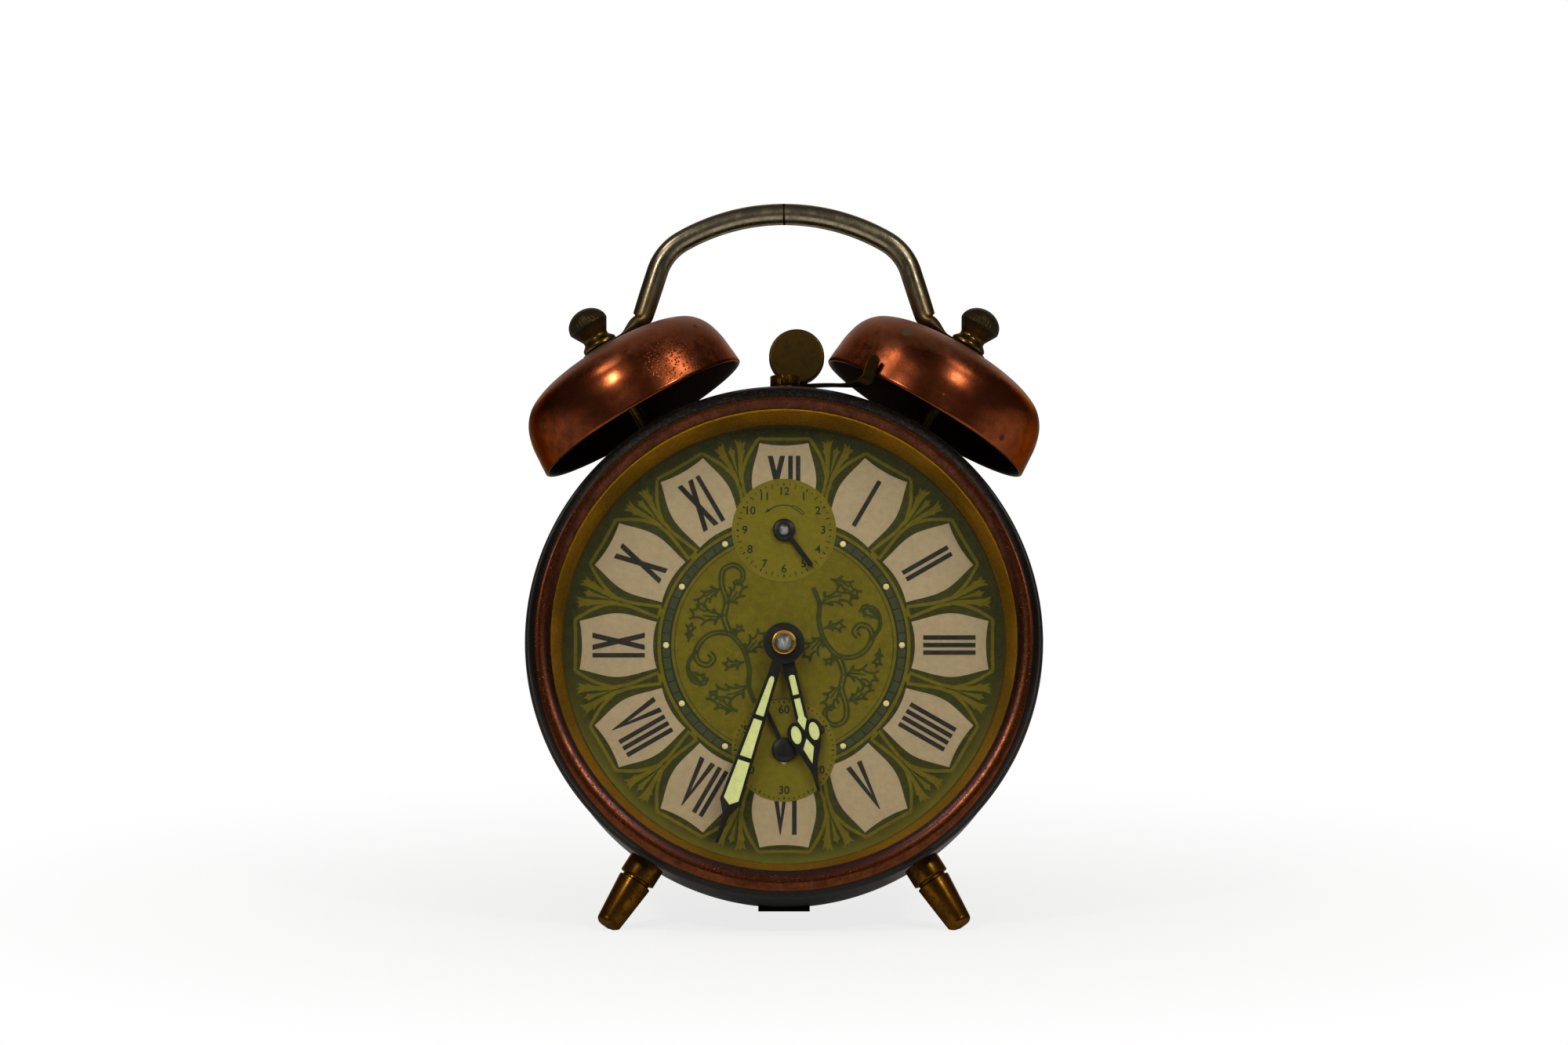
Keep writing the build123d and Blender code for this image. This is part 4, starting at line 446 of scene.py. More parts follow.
# Finishes
def agedCopper(name, seed, marks=(), dark=0.0, corroded=None, shadeCentre=None):
    # old spun copper: brown bloom in soft patches, fine scratches, dull dust above, green and dark marks, and
    # painted shade inside a bell
    recipe = Recipe(name)
    shifted = recipe.inClock((seed * 17.0, seed * 5.0, -seed * 11.0))
    bloom = recipe.noise(0.055, 5.0, 0.6, shifted, 0.6)
    mottle = recipe.noise(0.45, 4.0, 0.65, shifted)
    grain = recipe.noise(3.2, 3.0, 0.6, shifted)
    brown = recipe.spread(bloom + 0.35 * mottle, 0.55 - dark, 0.86 - dark)
    colour = recipe.mixed(brown, paint(166, 84, 48), paint(100, 50, 30))
    colour = recipe.mixed(recipe.spread(grain, 0.5, 0.75) * 0.4, colour, paint(70, 36, 24))
    facing, above = recipe.upness()
    dust = recipe.spread(above + 0.5 * mottle, 0.62, 1.25)
    colour = recipe.mixed(dust * 0.75, colour, paint(126, 86, 66))
    rough = 0.2 + 0.06 * brown + 0.05 * recipe.spread(mottle, 0.4, 0.7) + 0.3 * dust
    height = grain * 0.35 + mottle
    streak = recipe.noise(0.9, 3.0, 0.7, recipe.inClock((0, 0, 0), (0.6, 0.4), (14.0, 0.35, 1.0)))
    scratch = recipe.spread(streak, 0.69, 0.74)
    rough = rough + 0.14 * scratch
    metal = 1.0 - 0.75 * dust
    for centre, radius, tint, rise in marks:
        ragged = recipe.distance(recipe.place, centre) + 1.6 * radius * (mottle - 0.5)
        spot = recipe.spread(ragged, radius, radius * 0.55)
        colour = recipe.mixed(spot * 0.85, colour, tint)
        rough = rough + 0.4 * spot
        height = height + rise * spot
        metal = metal * (1.0 - 0.8 * spot)
    if corroded:
        centre, radius = corroded
        near = recipe.spread(recipe.distance(recipe.place, centre), radius, radius * 0.45)
        speck = recipe.spread(recipe.pitting(1.5) * 1.1 + 0.6 * grain, 0.72, 0.52) * near
        colour = recipe.mixed(speck * 0.8, colour, paint(58, 26, 18))
        height = height - 1.6 * speck
        rough = rough + 0.22 * speck
    if shadeCentre:
        # painted shade: the inner side of a bell, whose faces turn towards its middle, is painted dark and dull,
        # as it lies in shade
        turnedBack = recipe.node("ShaderNodeVectorRotate", {"rotation_type": "X_AXIS"}, {
            "Vector": facing, "Angle": leanBack})
        outward = recipe.vector("SUBTRACT", recipe.place, shadeCentre)
        paintedShadeInside = recipe.spread(recipe.vector("DOT_PRODUCT", turnedBack, outward, 1), 0.5, -0.5)
        colour = recipe.mixed(paintedShadeInside, colour, paint(30, 12, 8))
        metal = metal * (1.0 - 0.8 * paintedShadeInside)
        rough = rough + 0.3 * paintedShadeInside
    return recipe.finish(
        Base_Color=colour, Metallic=metal, Roughness=rough, Specular_Tint=(0.55, 0.4, 0.3),
        Normal=recipe.bump(height, 0.02))


def bezelCopper():
    # reddish copper ring, brown in patches, with a painted highlight line near the crest and painted shade on its
    # pitted inner slope, dusty on top
    recipe = Recipe("bezel_copper")
    radius = recipe.ringRadius()
    height = recipe.part(recipe.place, "Z")
    mottle = recipe.noise(0.35, 5.0, 0.65, twist=0.4)
    speckle = recipe.noise(2.4, 4.0, 0.7)
    brown = recipe.spread(mottle + 0.3 * speckle, 0.5, 0.85)
    colour = recipe.mixed(brown, paint(120, 66, 38), paint(76, 42, 24))
    # painted shade: the inner slope is darkened to purple-grey, more so towards the bottom
    inner = recipe.spread(radius, 51.6, 50.6)
    shadeBelow = recipe.spread(height, 10.0, -30.0)
    colour = recipe.mixed(inner * (0.35 + 0.5 * shadeBelow), colour, paint(66, 48, 52))
    pit = recipe.spread(recipe.pitting(1.9), 0.34, 0.16) * recipe.spread(speckle, 0.42, 0.6)
    colour = recipe.mixed(pit * 0.7, colour, paint(44, 20, 16))
    high, low = recipe.spread(height, 5.0, 48.0), recipe.spread(height, -5.0, -48.0)
    shifted = radius + 1.0 * high - 1.1 * low
    # painted highlight: an orange line near the crest, set further in on top and further out below, where the
    # lamps' light falls along the ring
    line = recipe.spread(shifted, 52.5, 52.7)
    shoulder = recipe.spread(shifted, 52.8, 53.0)
    colour = recipe.mixed(line * 0.5, colour, paint(132, 66, 28))
    lint = recipe.spread(recipe.noise(1.6, 6.0, 0.75), 0.52, 0.76) * recipe.spread(height, 5.0, 45.0)
    colour = recipe.mixed(shoulder, colour, recipe.mixed(lint * 0.7, paint(20, 17, 15), paint(86, 86, 82)))
    rough = 0.24 + 0.14 * brown + 0.25 * pit + shoulder * (0.1 + 0.3 * lint)
    return recipe.finish(
        Base_Color=colour, Metallic=1.0 - 0.35 * inner * low - 0.6 * shoulder, Roughness=rough,
        Specular_Tint=(0.5, 0.4, 0.35),
        Normal=recipe.bump(mottle * 0.5 + speckle * 0.5 - pit * 1.4, 0.03))


def dustyBlack():
    # black lacquered steel with grey lint on top and rubbed places that show the steel
    recipe = Recipe("dusty_black_lacquer")
    lint = recipe.noise(1.6, 6.0, 0.75)
    fibre = recipe.noise(1.1, 3.0, 0.6, recipe.inClock((0, 0, 0), (0.4, 0.7), (0.4, 3.0, 1.0)), 1.2)
    dust = recipe.spread(recipe.upness()[1], -0.1, 0.6) * recipe.spread(lint + 0.35 * fibre, 0.64, 0.96)
    worn = recipe.spread(recipe.noise(0.16, 4.0, 0.7), 0.58, 0.72)
    colour = recipe.mixed(worn * 0.4, paint(24, 22, 20), paint(64, 54, 46))
    colour = recipe.mixed(dust * 0.8, colour, paint(84, 84, 80))
    return recipe.finish(
        Base_Color=colour, Metallic=0.2 * worn, Roughness=0.36 + 0.4 * dust + 0.08 * worn,
        Specular_IOR_Level=0.3, Normal=recipe.bump(lint, 0.02))


def agedBrass(name, light, deep, stain, roughness=0.3, grime=0.5, capFrom=None):
    # brass gone brown: a warm metal under a patchy skin, darker in soft clouds, with pin pricks;
    # the caps of the nuts, beyond a distance from the clock's middle, are nearly black
    recipe = Recipe(name)
    cloud = recipe.noise(0.22, 5.0, 0.62, twist=0.5)
    mottle = recipe.noise(1.1, 4.0, 0.6)
    prick = recipe.spread(recipe.noise(2.8, 2.0, 0.5), 0.7, 0.76)
    skin = recipe.spread(cloud + 0.3 * mottle, 0.5, 0.82)
    colour = recipe.mixed(skin, light, deep)
    colour = recipe.mixed(recipe.spread(mottle, 0.55, 0.75) * grime, colour, stain)
    colour = recipe.mixed(prick * 0.8, colour, paint(24, 16, 8))
    rough = roughness + 0.2 * skin + 0.15 * prick
    metal = 1.0 - 0.3 * skin
    if capFrom:
        cap = recipe.spread(recipe.distance(recipe.place, (0.0, 21.0, 0.0)), capFrom, capFrom + 1.2)
        colour = recipe.mixed(cap * 0.8, colour, paint(34, 28, 15))
        rough = rough + 0.12 * cap
        metal = metal * (1.0 - 0.4 * cap)
    return recipe.finish(
        Base_Color=colour, Metallic=metal, Roughness=rough, Specular_Tint=(0.5, 0.42, 0.28),
        Normal=recipe.bump(mottle - prick, 0.012))


def handleSteel():
    # nickelled rod worn to grey steel, browned at its lower ends, with a dark seam at the top
    recipe = Recipe("worn_handle_steel")
    height = recipe.part(recipe.place, "Z")
    side = recipe.part(recipe.place, "X")
    mottle = recipe.noise(0.5, 5.0, 0.65)
    brushed = recipe.noise(1.4, 3.0, 0.6, recipe.inClock((0, 0, 0), stretch=(3.0, 1.0, 3.0)))
    low = recipe.spread(height + 5.0 * mottle, 84.0, 71.0)
    colour = recipe.mixed(recipe.spread(mottle, 0.4, 0.7), paint(180, 168, 140), paint(134, 122, 98))
    colour = recipe.mixed(recipe.spread(height, 91.0, 84.0) * 0.6, colour, paint(84, 74, 54))
    colour = recipe.mixed(low, colour, paint(92, 72, 36))
    green = recipe.spread(height + 8.0 * mottle, 76.0, 71.0) * recipe.spread(side, 0.0, -1.0)
    colour = recipe.mixed(green * 0.6, colour, paint(70, 100, 84))
    aside = recipe.node("ShaderNodeMath", {"operation": "ABSOLUTE"}, {0: side + 0.5 * (mottle - 0.5)})
    seam = recipe.spread(aside, 0.3, 0.18)
    colour = recipe.mixed(seam, colour, paint(46, 24, 12))
    rough = 0.24 + 0.18 * recipe.spread(mottle, 0.45, 0.7) + 0.2 * low + 0.3 * seam
    return recipe.finish(
        Base_Color=colour, Metallic=1.0 - 0.6 * green, Roughness=rough, Specular_Tint=(0.4, 0.38, 0.32),
        Normal=recipe.bump(mottle + 0.4 * brushed - seam, 0.012))


def goldReflector():
    # spun gilt ring, deep olive in its hollow and bright where it faces the light, with a painted shadow as a dark
    # line at its foot by the dial
    recipe = Recipe("gilt_reflector")
    radius = recipe.ringRadius()
    rings = recipe.node("ShaderNodeMath", {"operation": "SINE"}, {0: radius * 40.0})
    speck = recipe.noise(1.6, 4.0, 0.6)
    colour = recipe.mixed(recipe.spread(speck, 0.35, 0.75), paint(194, 146, 3), paint(154, 112, 1))
    # painted shadow: a dark brown line along the foot, where the ring meets the dial
    foot = recipe.spread(radius, 47.5, 47.2)
    colour = recipe.mixed(foot * 0.85, colour, paint(40, 20, 4))
    return recipe.finish(
        Base_Color=colour, Metallic=1.0 - 0.5 * foot, Roughness=0.34 + 0.16 * speck,
        Normal=recipe.bump(rings * 0.2 + speck, 0.006))


def printedInk(name, colour, second, roughness=0.5, sparkle=0.0, rim=None):
    # a printed colour, slightly mottled; on gilt parts tiny bright flakes, on the plate a painted reflection that
    # makes the rim lighter below
    recipe = Recipe(name)
    mottle = recipe.noise(0.8, 4.0, 0.6)
    tooth = recipe.noise(7.0, 2.0, 0.5)
    ink = recipe.mixed(recipe.spread(mottle + 0.25 * tooth, 0.45, 0.8), colour, second)
    if sparkle:
        flake = recipe.spread(recipe.noise(5.5, 1.0, 0.5), 0.74, 0.78) * sparkle
        ink = recipe.mixed(flake, ink, paint(236, 214, 130))
    # painted reflection: towards the rim, in the lower half, the plate takes a lighter colour as a glow thrown
    # from the gilt ring
    if rim:
        low = recipe.spread(recipe.part(recipe.place, "Z"), 0.0, -30.0)
        outer = recipe.spread(recipe.distance(recipe.place, (0.0, 8.0, 0.0)), 44.0, 47.0)
        ink = recipe.mixed(outer * low, ink, rim)
    return recipe.finish(
        Base_Color=ink, Roughness=roughness + 0.1 * mottle, Specular_IOR_Level=0.12,
        Normal=recipe.bump(tooth, 0.003))


def plainMetal(name, colour, second, roughness, grainStretch=(1, 1, 1)):
    # turned or stamped metal inside the case and at the back: fine grain and faint tarnish
    recipe = Recipe(name)
    cloud = recipe.noise(0.18, 4.0, 0.6)
    grain = recipe.noise(2.2, 3.0, 0.6, recipe.inClock((0, 0, 0), stretch=grainStretch))
    tone = recipe.mixed(recipe.spread(cloud + 0.3 * grain, 0.45, 0.85), colour, second)
    return recipe.finish(
        Base_Color=tone, Metallic=1.0, Roughness=roughness + 0.14 * cloud, Normal=recipe.bump(grain, 0.006))


def glossBlack():
    # black enamel, barely uneven
    recipe = Recipe("black_enamel")
    mottle = recipe.noise(1.5, 4.0, 0.6)
    colour = recipe.mixed(recipe.spread(mottle, 0.45, 0.8), paint(13, 13, 12), paint(24, 23, 20))
    return recipe.finish(
        Base_Color=colour, Roughness=0.3 + 0.1 * mottle, Specular_IOR_Level=0.25,
        Normal=recipe.bump(mottle, 0.002))


def clearGlass():
    # polished glass, which lets the lamps through to the dial
    recipe = Recipe("clear_glass")
    wave = recipe.noise(0.04, 2.0, 0.5)
    shine = recipe.node("ShaderNodeBsdfPrincipled", {}, {
        "Base Color": paint(252, 254, 252), "Roughness": 0.02, "IOR": 1.3, "Transmission Weight": 1.0,
        "Normal": recipe.bump(wave, 0.02),
    })
    shadowRay = recipe.node("ShaderNodeLightPath", {}, {}, "Is Shadow Ray")
    passing = recipe.node("ShaderNodeBsdfTransparent", {}, {"Color": (0.96, 0.97, 0.96)})
    return recipe.blend(shadowRay, shine, passing)


blackInk = printedInk("black_ink", paint(26, 25, 24), paint(38, 36, 33), 0.45)
clockBrass = plainMetal("clock_brass", paint(196, 158, 84), paint(166, 126, 60), 0.26, (1, 1, 3))
bluedSteel = plainMetal("spring_steel", paint(96, 100, 112), paint(70, 72, 84), 0.24, (1, 4, 1))
brightSteel = plainMetal("turned_steel", paint(150, 150, 150), paint(112, 112, 114), 0.28, (1, 6, 1))
darkBrass = agedBrass("dark_brass", paint(112, 88, 38), paint(56, 44, 20), paint(30, 26, 14), 0.22, 0.5, 80.2)
footBrass = agedBrass("foot_brass", paint(124, 82, 18), paint(66, 42, 10), paint(28, 20, 6), 0.2, 0.6)
leverBrass = agedBrass("lever_bronze", paint(54, 37, 9), paint(31, 21, 6), paint(18, 12, 4), 0.3)
plate = plainMetal("plated_key", paint(176, 172, 158), paint(140, 134, 118), 0.24)
black = glossBlack()
print("finishes mixed")

# Drum, bezel, glass and reflector
drum = {
    "frontRadius": 54.7, "rearRadius": 52.0, "beadDepth": 3.55, "beadRadius": 1.15, "beadRing": 53.95,
    "wall": 0.8, "back": 39.4, "corner": 1.2, "flangeInner": 46.5, "segments": 360, "slotColumns": 12,
    "slotLeft": -2.2, "slotRight": 7.9, "slotFront": 18.2, "slotBack": 21.8, "frontRows": 9, "slotRows": 3,
    "backRows": 12, "seatInner": 45.5, "seatFront": 8.6, "seatBack": 9.4,
}


def drumRadius(depth):
    # straight from the front radius at the bead to the rear radius at the back
    share = (depth - drum["beadDepth"]) / (drum["back"] - drum["beadDepth"])
    return drum["frontRadius"] + (drum["rearRadius"] - drum["frontRadius"]) * share


def makeDrum():
    # the wall is a sheet of (clock angle, depth), open at the hammer's slot, with a flange turned in behind
    slotRadius = drumRadius((drum["slotFront"] + drum["slotBack"]) / 2)
    start, stop = (math.degrees(math.asin(drum[edge] / slotRadius)) for edge in ("slotLeft", "slotRight"))
    columns = drum["slotColumns"]
    angles = np.concatenate((
        np.linspace(start, stop, columns + 1)[:-1],
        np.linspace(stop, start + 360, drum["segments"] - columns)[:-1]))
    rows = np.concatenate((
        np.linspace(drum["beadDepth"], drum["slotFront"], drum["frontRows"] + 1)[:-1],
        np.linspace(drum["slotFront"], drum["slotBack"], drum["slotRows"] + 1)[:-1],
        np.linspace(drum["slotBack"], drum["back"] - drum["corner"], drum["backRows"])))
    straight = np.stack((drumRadius(rows), rows), 1)
    middle = straight[-1] - (drum["corner"], 0.0)
    corner = ellipse(middle, (drum["corner"], drum["corner"]), 0, 90, 7)[1:]
    flange = np.linspace((middle[0], drum["back"]), (drum["flangeInner"], drum["back"]), 5)[1:]
    wall = np.vstack((straight, corner, flange))
    spin = np.radians(angles)[None, :]
    radius, depth = wall[:, :1], np.repeat(wall[:, 1:], len(angles), 1)
    points = np.stack((radius * np.sin(spin), depth, radius * np.cos(spin)), -1)
    cutRows = range(drum["frontRows"], drum["frontRows"] + drum["slotRows"])
    cut = {row * len(angles) + column for row in cutRows for column in range(columns)}
    faces = [face for number, face in enumerate(gridFaces(len(wall), len(angles), False, True))
             if number not in cut]
    shell = makePiece("drum_shell", [(points, faces)], "case", lacquer, ("drum",), 50)
    thicken = shell.modifiers.new("wall", "SOLIDIFY")
    thicken.thickness, thicken.offset = drum["wall"] * mm, -1.0


def makeDrumBead():
    # the rolled bead in front of the wall, and the ring inside it that the dial sits on
    bead = ellipse((drum["beadRing"], drum["beadDepth"]), (drum["beadRadius"],) * 2, 0, 360, 21)[:-1]
    front, back, inner = drum["seatFront"], drum["seatBack"], drum["seatInner"]
    outer = drumRadius(back) - drum["wall"]
    seat = [(inner, front), (outer, front), (outer, back), (inner, back)]
    makePiece("drum_bead", [turned(bead, drum["segments"]), turned(seat, drum["segments"])],
              "case", lacquer)


lacquer = dustyBlack()
makeDrum()
makeDrumBead()

bezel = {
    "outer": (54.3, 2.2), "shoulder": (54.1, -0.55), "crest": (52.4, -1.8), "slope": (50.7, -1.35),
    "lip": (49.6, -0.3), "glassSeat": 0.2, "seatRadius": 50.9, "skirtInner": 52.0, "skirtOuter": 52.6,
    "skirtBack": 5.0, "ease": 0.04, "segments": 400,
}


def makeBezel():
    # a rolled ring: a round shoulder up to the crest, a rounded slope down to the lip, and a skirt behind
    shoulder = arcVia(bezel["outer"], bezel["shoulder"], bezel["crest"])
    slope = arcVia(bezel["crest"], bezel["slope"], bezel["lip"])[1:]
    behind = eased([
        (bezel["lip"][0], bezel["glassSeat"]), (bezel["seatRadius"], bezel["glassSeat"]),
        (bezel["seatRadius"], bezel["outer"][1]), (bezel["skirtInner"], bezel["outer"][1]),
        (bezel["skirtInner"], bezel["skirtBack"]), (bezel["skirtOuter"], bezel["skirtBack"]),
        (bezel["skirtOuter"], bezel["outer"][1]),
    ], bezel["ease"], 2)
    profile = np.vstack((shoulder, slope, behind))
    makePiece("bezel_ring", [turned(profile, bezel["segments"])], "case", bezelCopper(), ("bezel",),
              50)


glazing = {
    "radius": 50.8, "front": 0.25, "back": 1.45, "edge": 0.12, "ringFront": 1.5, "ringBack": 8.0,
    "mouth": 49.55, "mouthEase": (0.3, 0.2), "inner": 46.9, "wall": 0.5, "flange": 49.2,
}


def makeGlass():
    # a flat round pane with its edges cut off at a slant
    radius, front, back, edge = (glazing[key] for key in ("radius", "front", "back", "edge"))
    pane = [(0, front), (radius - edge, front), (radius, front + edge), (radius, back - edge),
            (radius - edge, back), (0, back)]
    makePiece("crystal_pane", [turned(pane, 240, closed=False)], "case", clearGlass(),
              ("crystal",))


def makeReflector():
    # a straight slope from the mouth behind the glass to the dial, with a flange at each end
    radius, wall, mouth, inner = (glazing[key] for key in ("radius", "wall", "mouth", "inner"))
    flange, front, back = (glazing[key] for key in ("flange", "ringFront", "ringBack"))
    easeOut, easeIn = glazing["mouthEase"]
    profile = np.vstack((
        [(radius, front), (mouth + easeOut, front)], np.linspace((mouth, front + easeIn), (inner, back), 14),
        [(flange, back), (flange, back - wall), (inner + 2 * wall, back - wall)],
        [(mouth + wall, front + wall), (radius, front + wall)]))
    makePiece("reflector_cone", [turned(profile, 360)], "case", goldReflector(),
              ("reflector_ring",))


makeBezel()
makeGlass()
makeReflector()

# Dial: a printed plate. Each layer of print is a thin raised skin, a little higher than the one below it
dial = {
    "radius": 49.8, "front": 8.05, "thickness": 0.5, "holes": ((0, 0, 3.1), (0, 24.7, 1.5), (0, -22.6, 1.0)),
    "layer": 0.012, "crossing": 0.07, "crossings": 9, "step": 30, "discOuter": 23.85, "bandInner": 23.95,
    "bandOuter": 26.2, "outerLine": (26.55, 0.7), "innerLine": (23.8, 0.35), "hairline": (23.25, 0.2),
    "cellInner": 24.4, "cellOuter": 25.85, "cellGap": 0.35, "dotGap": 1.5, "dotRadius": 0.65, "dotRise": 0.22,
    "dotRing": 25.1,
}
alarmAt, secondsAt = (hole[:2] for hole in dial["holes"][1:])
numeral = {
    "names": ("XII", "I", "II", "III", "IIII", "V", "VI", "VII", "VIII", "IX", "X", "XI"),
    "inverted": range(4, 9), "foot": 29.6, "height": 11.15, "stroke": 0.98, "pitch": 1.62, "wide": 3.75,
    "diagonal": 1.12, "notch": 3.6, "point": 0.1, "ease": 0.12,
}
cartouche = {
    "side": ((5.0, 27.1), (6.85, 35.4), (5.2, 43.5)), "innerBow": 0.75, "outerBow": 0.55, "lineWidth": 0.68,
    "border": ((5.9, 26.7), (7.35, 30.2), (8.45, 33.1), (8.78, 34.9), (8.95, 36.6), (7.85, 40.4),
               (5.55, 44.4)),
    "endRise": 0.05, "endBow": 0.1,
}
palmette = {
    "petal": ((0.1, 36.3), (0.22, 38.0), (0.7, 40.2), (1.15, 42.2), (1.35, 43.6), (1.25, 45.4), (1.75, 44.9),
              (2.1, 44.5), (2.35, 45.2), (2.65, 44.3), (3.55, 44.5), (3.0, 43.7), (2.65, 43.0), (2.85, 42.5),
              (2.25, 41.8), (1.65, 40.4), (1.05, 38.4), (0.55, 36.6)),
    "middle": ((0.0, 37.9), (0.2, 40.0), (0.4, 42.2), (0.75, 43.3), (0.35, 43.4), (0.0, 44.2)),
    "bar": (26.8, 27.7), "barWidth": 1.7,
}
# each mark has an inner end, an outer end and a width; the alarm's repeat as hour, quarter, half, quarter
subdial = {
    "radius": 11.1, "figure": 1.68, "weight": 0.045, "hourRing": 8.35, "secondRing": 8.65,
    "alarmTicks": ((9.55, 10.15, 0.32), (9.7, 10.1, 0.24), (9.2, 10.2, 0.2), (9.7, 10.1, 0.24)),
    "secondTick": (10.25, 10.65, 0.24), "fifthTick": (10.05, 10.65, 0.3),
    "overline": {"radius": 11.0, "reach": 24, "width": 0.16},
    "arrow": {"radius": 5.4, "start": -38, "stop": 20, "width": 0.24},
    "tail": {"outer": 5.65, "inner": 5.15, "start": 20, "stop": 50, "width": 0.18},
    "head": ((5.8, -36), (5.55, -48), (5.05, -35)),
}


def layerDepth(layer, number=0):
    # the front of a layer of print, with a hair's difference between neighbours that cross
    return dial["front"] - dial["layer"] * (layer + dial["crossing"] * (number % dial["crossings"]))


def printed(name, parts, ink, replaced=(), sharpAngle=38.0):
    # a piece of the dial's print
    makePiece(name, parts, "case", ink, replaced, sharpAngle)


def annulus(inner, outer, layer, centre=(0, 0), segments=240):
    # a flat ring that stands on the plate and reaches up to a layer
    front = layerDepth(layer)
    loop = [(inner, front), (outer, front), (outer, dial["front"]), (inner, dial["front"])]
    return turned(loop, segments, (centre[0], 0, centre[1]))


def ringLine(line, layer):
    # a round line about the dial's middle: its radius, and its width half to each side
    radius, width = line
    return annulus(radius - width / 2, radius + width / 2, layer)


def makeDialPlate():
    # a round sheet with three holes
    loops = [arc(dial["radius"], 0, 360, 241)[:-1]]
    for x, z, radius in dial["holes"]:
        loops.append(arc(radius, 360, 0, 49, (x, z))[:-1])
    # its last colour is the painted reflection at the lower rim
    ink = printedInk("dial_green", paint(49, 50, 16), paint(38, 40, 12), 0.42, 0.3, paint(86, 80, 18))
    printed("dial_plate", [cutSheet(loops, dial["front"], dial["thickness"])], ink, ("dial",))


def cartoucheOutline():
    # four curved sides: bowed ends towards the ring and the rim, and two sides that swell
    right = through(cartouche["side"], 12)
    left = right[::-1] * mirror
    top = bowed(right[-1], left[0], cartouche["outerBow"], 12)[1:-1]
    bottom = bowed(left[-1], right[0], cartouche["innerBow"], 12)[1:-1]
    return np.vstack((right, top, left, bottom))


def borderLines():
    # on each side of a cartouche: from the ring past the eye to the outer corner, then across the end
    side = through(cartouche["border"], 6)
    corner = side[-1] + (0.0, cartouche["endRise"])
    return [side, side * mirror, bowed(corner, corner * mirror, cartouche["endBow"], 14)]


def petals():
    # drawn about the line between two cartouches: a petal that leans to each side and one in the middle
    petal, middle = np.array(palmette["petal"]), np.array(palmette["middle"])
    return [petal, petal[::-1] * mirror, np.vstack((middle, middle[-2:0:-1] * mirror))]


def makeGiltPrint():
    # the gilt middle, the lines beside the minute track, and the twelve borders and palmettes
    front = dial["front"]
    parts = [annulus(dial["holes"][0][2], dial["discOuter"], 1),
             ringLine(dial["outerLine"], 2), ringLine(dial["innerLine"], 6)]
    for hour in range(12):
        turn = hour * dial["step"]
        between = turn + dial["step"] / 2
        for number, line in enumerate(borderLines()):
            depth = layerDepth(3, number + hour)
            parts.append(stroke(clockTurn(line, turn), cartouche["lineWidth"], depth, front))
        for number, outline in enumerate(petals()):
            parts.append(prism(clockTurn(outline, between), layerDepth(4, number + 3), front))
        bar = clockTurn([(0.0, end) for end in palmette["bar"]], between)
        parts.append(stroke(bar, palmette["barWidth"], layerDepth(4, 7), front))
    printed("dial_gilt_print", parts,
            printedInk("dial_gilt", paint(93, 83, 12), paint(81, 71, 8), 0.36, 0.4))
    discs = [annulus(radius, subdial["radius"], 9, (x, z), 160) for x, z, radius in dial["holes"][1:]]
    printed("subdial_print", discs,
            printedInk("subdial_gilt", paint(100, 90, 14), paint(91, 81, 11), 0.4, 0.2))


def makeCartouches():
    # one outline at each hour
    outline = cartoucheOutline()
    parts = [prism(clockTurn(outline, hour * dial["step"]), layerDepth(2), dial["front"])
             for hour in range(12)]
    printed("dial_cartouches", parts,
            printedInk("cartouche_cream", paint(151, 134, 107), paint(141, 124, 97), 0.5))


def makeTrack():
    # a black band, sixty cells in it that leave room at the hours, and a domed dot at each hour
    printed("minute_band", [annulus(dial["bandInner"], dial["bandOuter"], 3)],
            printedInk("band_black", paint(30, 32, 20), paint(38, 40, 26), 0.4))
    cells, dots = [], []
    for minute in range(60):
        start = minute * 6 + dial["cellGap"] + dial["dotGap"] * (minute % 5 == 0)
        stop = minute * 6 + 6 - dial["cellGap"] - dial["dotGap"] * (minute % 5 == 4)
        outline = np.vstack((arc(dial["cellInner"], start, stop, 5), arc(dial["cellOuter"], stop, start, 5)))
        cells.append(prism(outline, layerDepth(5), dial["front"]))
    dome = np.vstack((ellipse((0, 0), (dial["dotRadius"], -dial["dotRise"]), 0, 90, 6), [(0.0, 0.0)]))
    for x, z in arc(dial["dotRing"], 0, 360, 13)[:-1]:
        dots.append(turned(dome, 24, (x, dial["front"], z), closed=False))
    printed("minute_cells", cells, printedInk("cell_green", paint(54, 60, 38), paint(46, 52, 32), 0.4))
    printed("hour_dots", dots, printedInk("dot_cream", paint(206, 190, 130), paint(186, 170, 112), 0.35),
            sharpAngle=60)


def numeralStrokes(text):
    # the strokes of a roman number, side by side about its middle and standing on its foot
    tall, wide, bar = numeral["height"], numeral["wide"], numeral["stroke"]
    slope, notch, point = numeral["diagonal"], numeral["notch"], numeral["point"]
    gap = numeral["pitch"] - bar
    widths = [bar if letter == "I" else wide for letter in text]
    left = -(sum(widths) + gap * (len(text) - 1)) / 2
    outlines = []
    for letter, width in zip(text, widths):
        right, middle = left + width, left + width / 2
        if letter == "I":
            outlines.append([(left, 0), (right, 0), (right, tall), (left, tall)])
        elif letter == "V":
            outlines.append([(left, tall), (left + slope, tall), (middle + point, notch),
                             (right - slope, tall), (right, tall), (middle + point, 0), (middle - point, 0)])
        else:
            outlines.append([(left, 0), (left + slope, 0), (right, tall), (right - slope, tall)])
            outlines.append([(right - slope, 0), (right, 0), (left + slope, tall), (left, tall)])
        left = right + gap
    return outlines


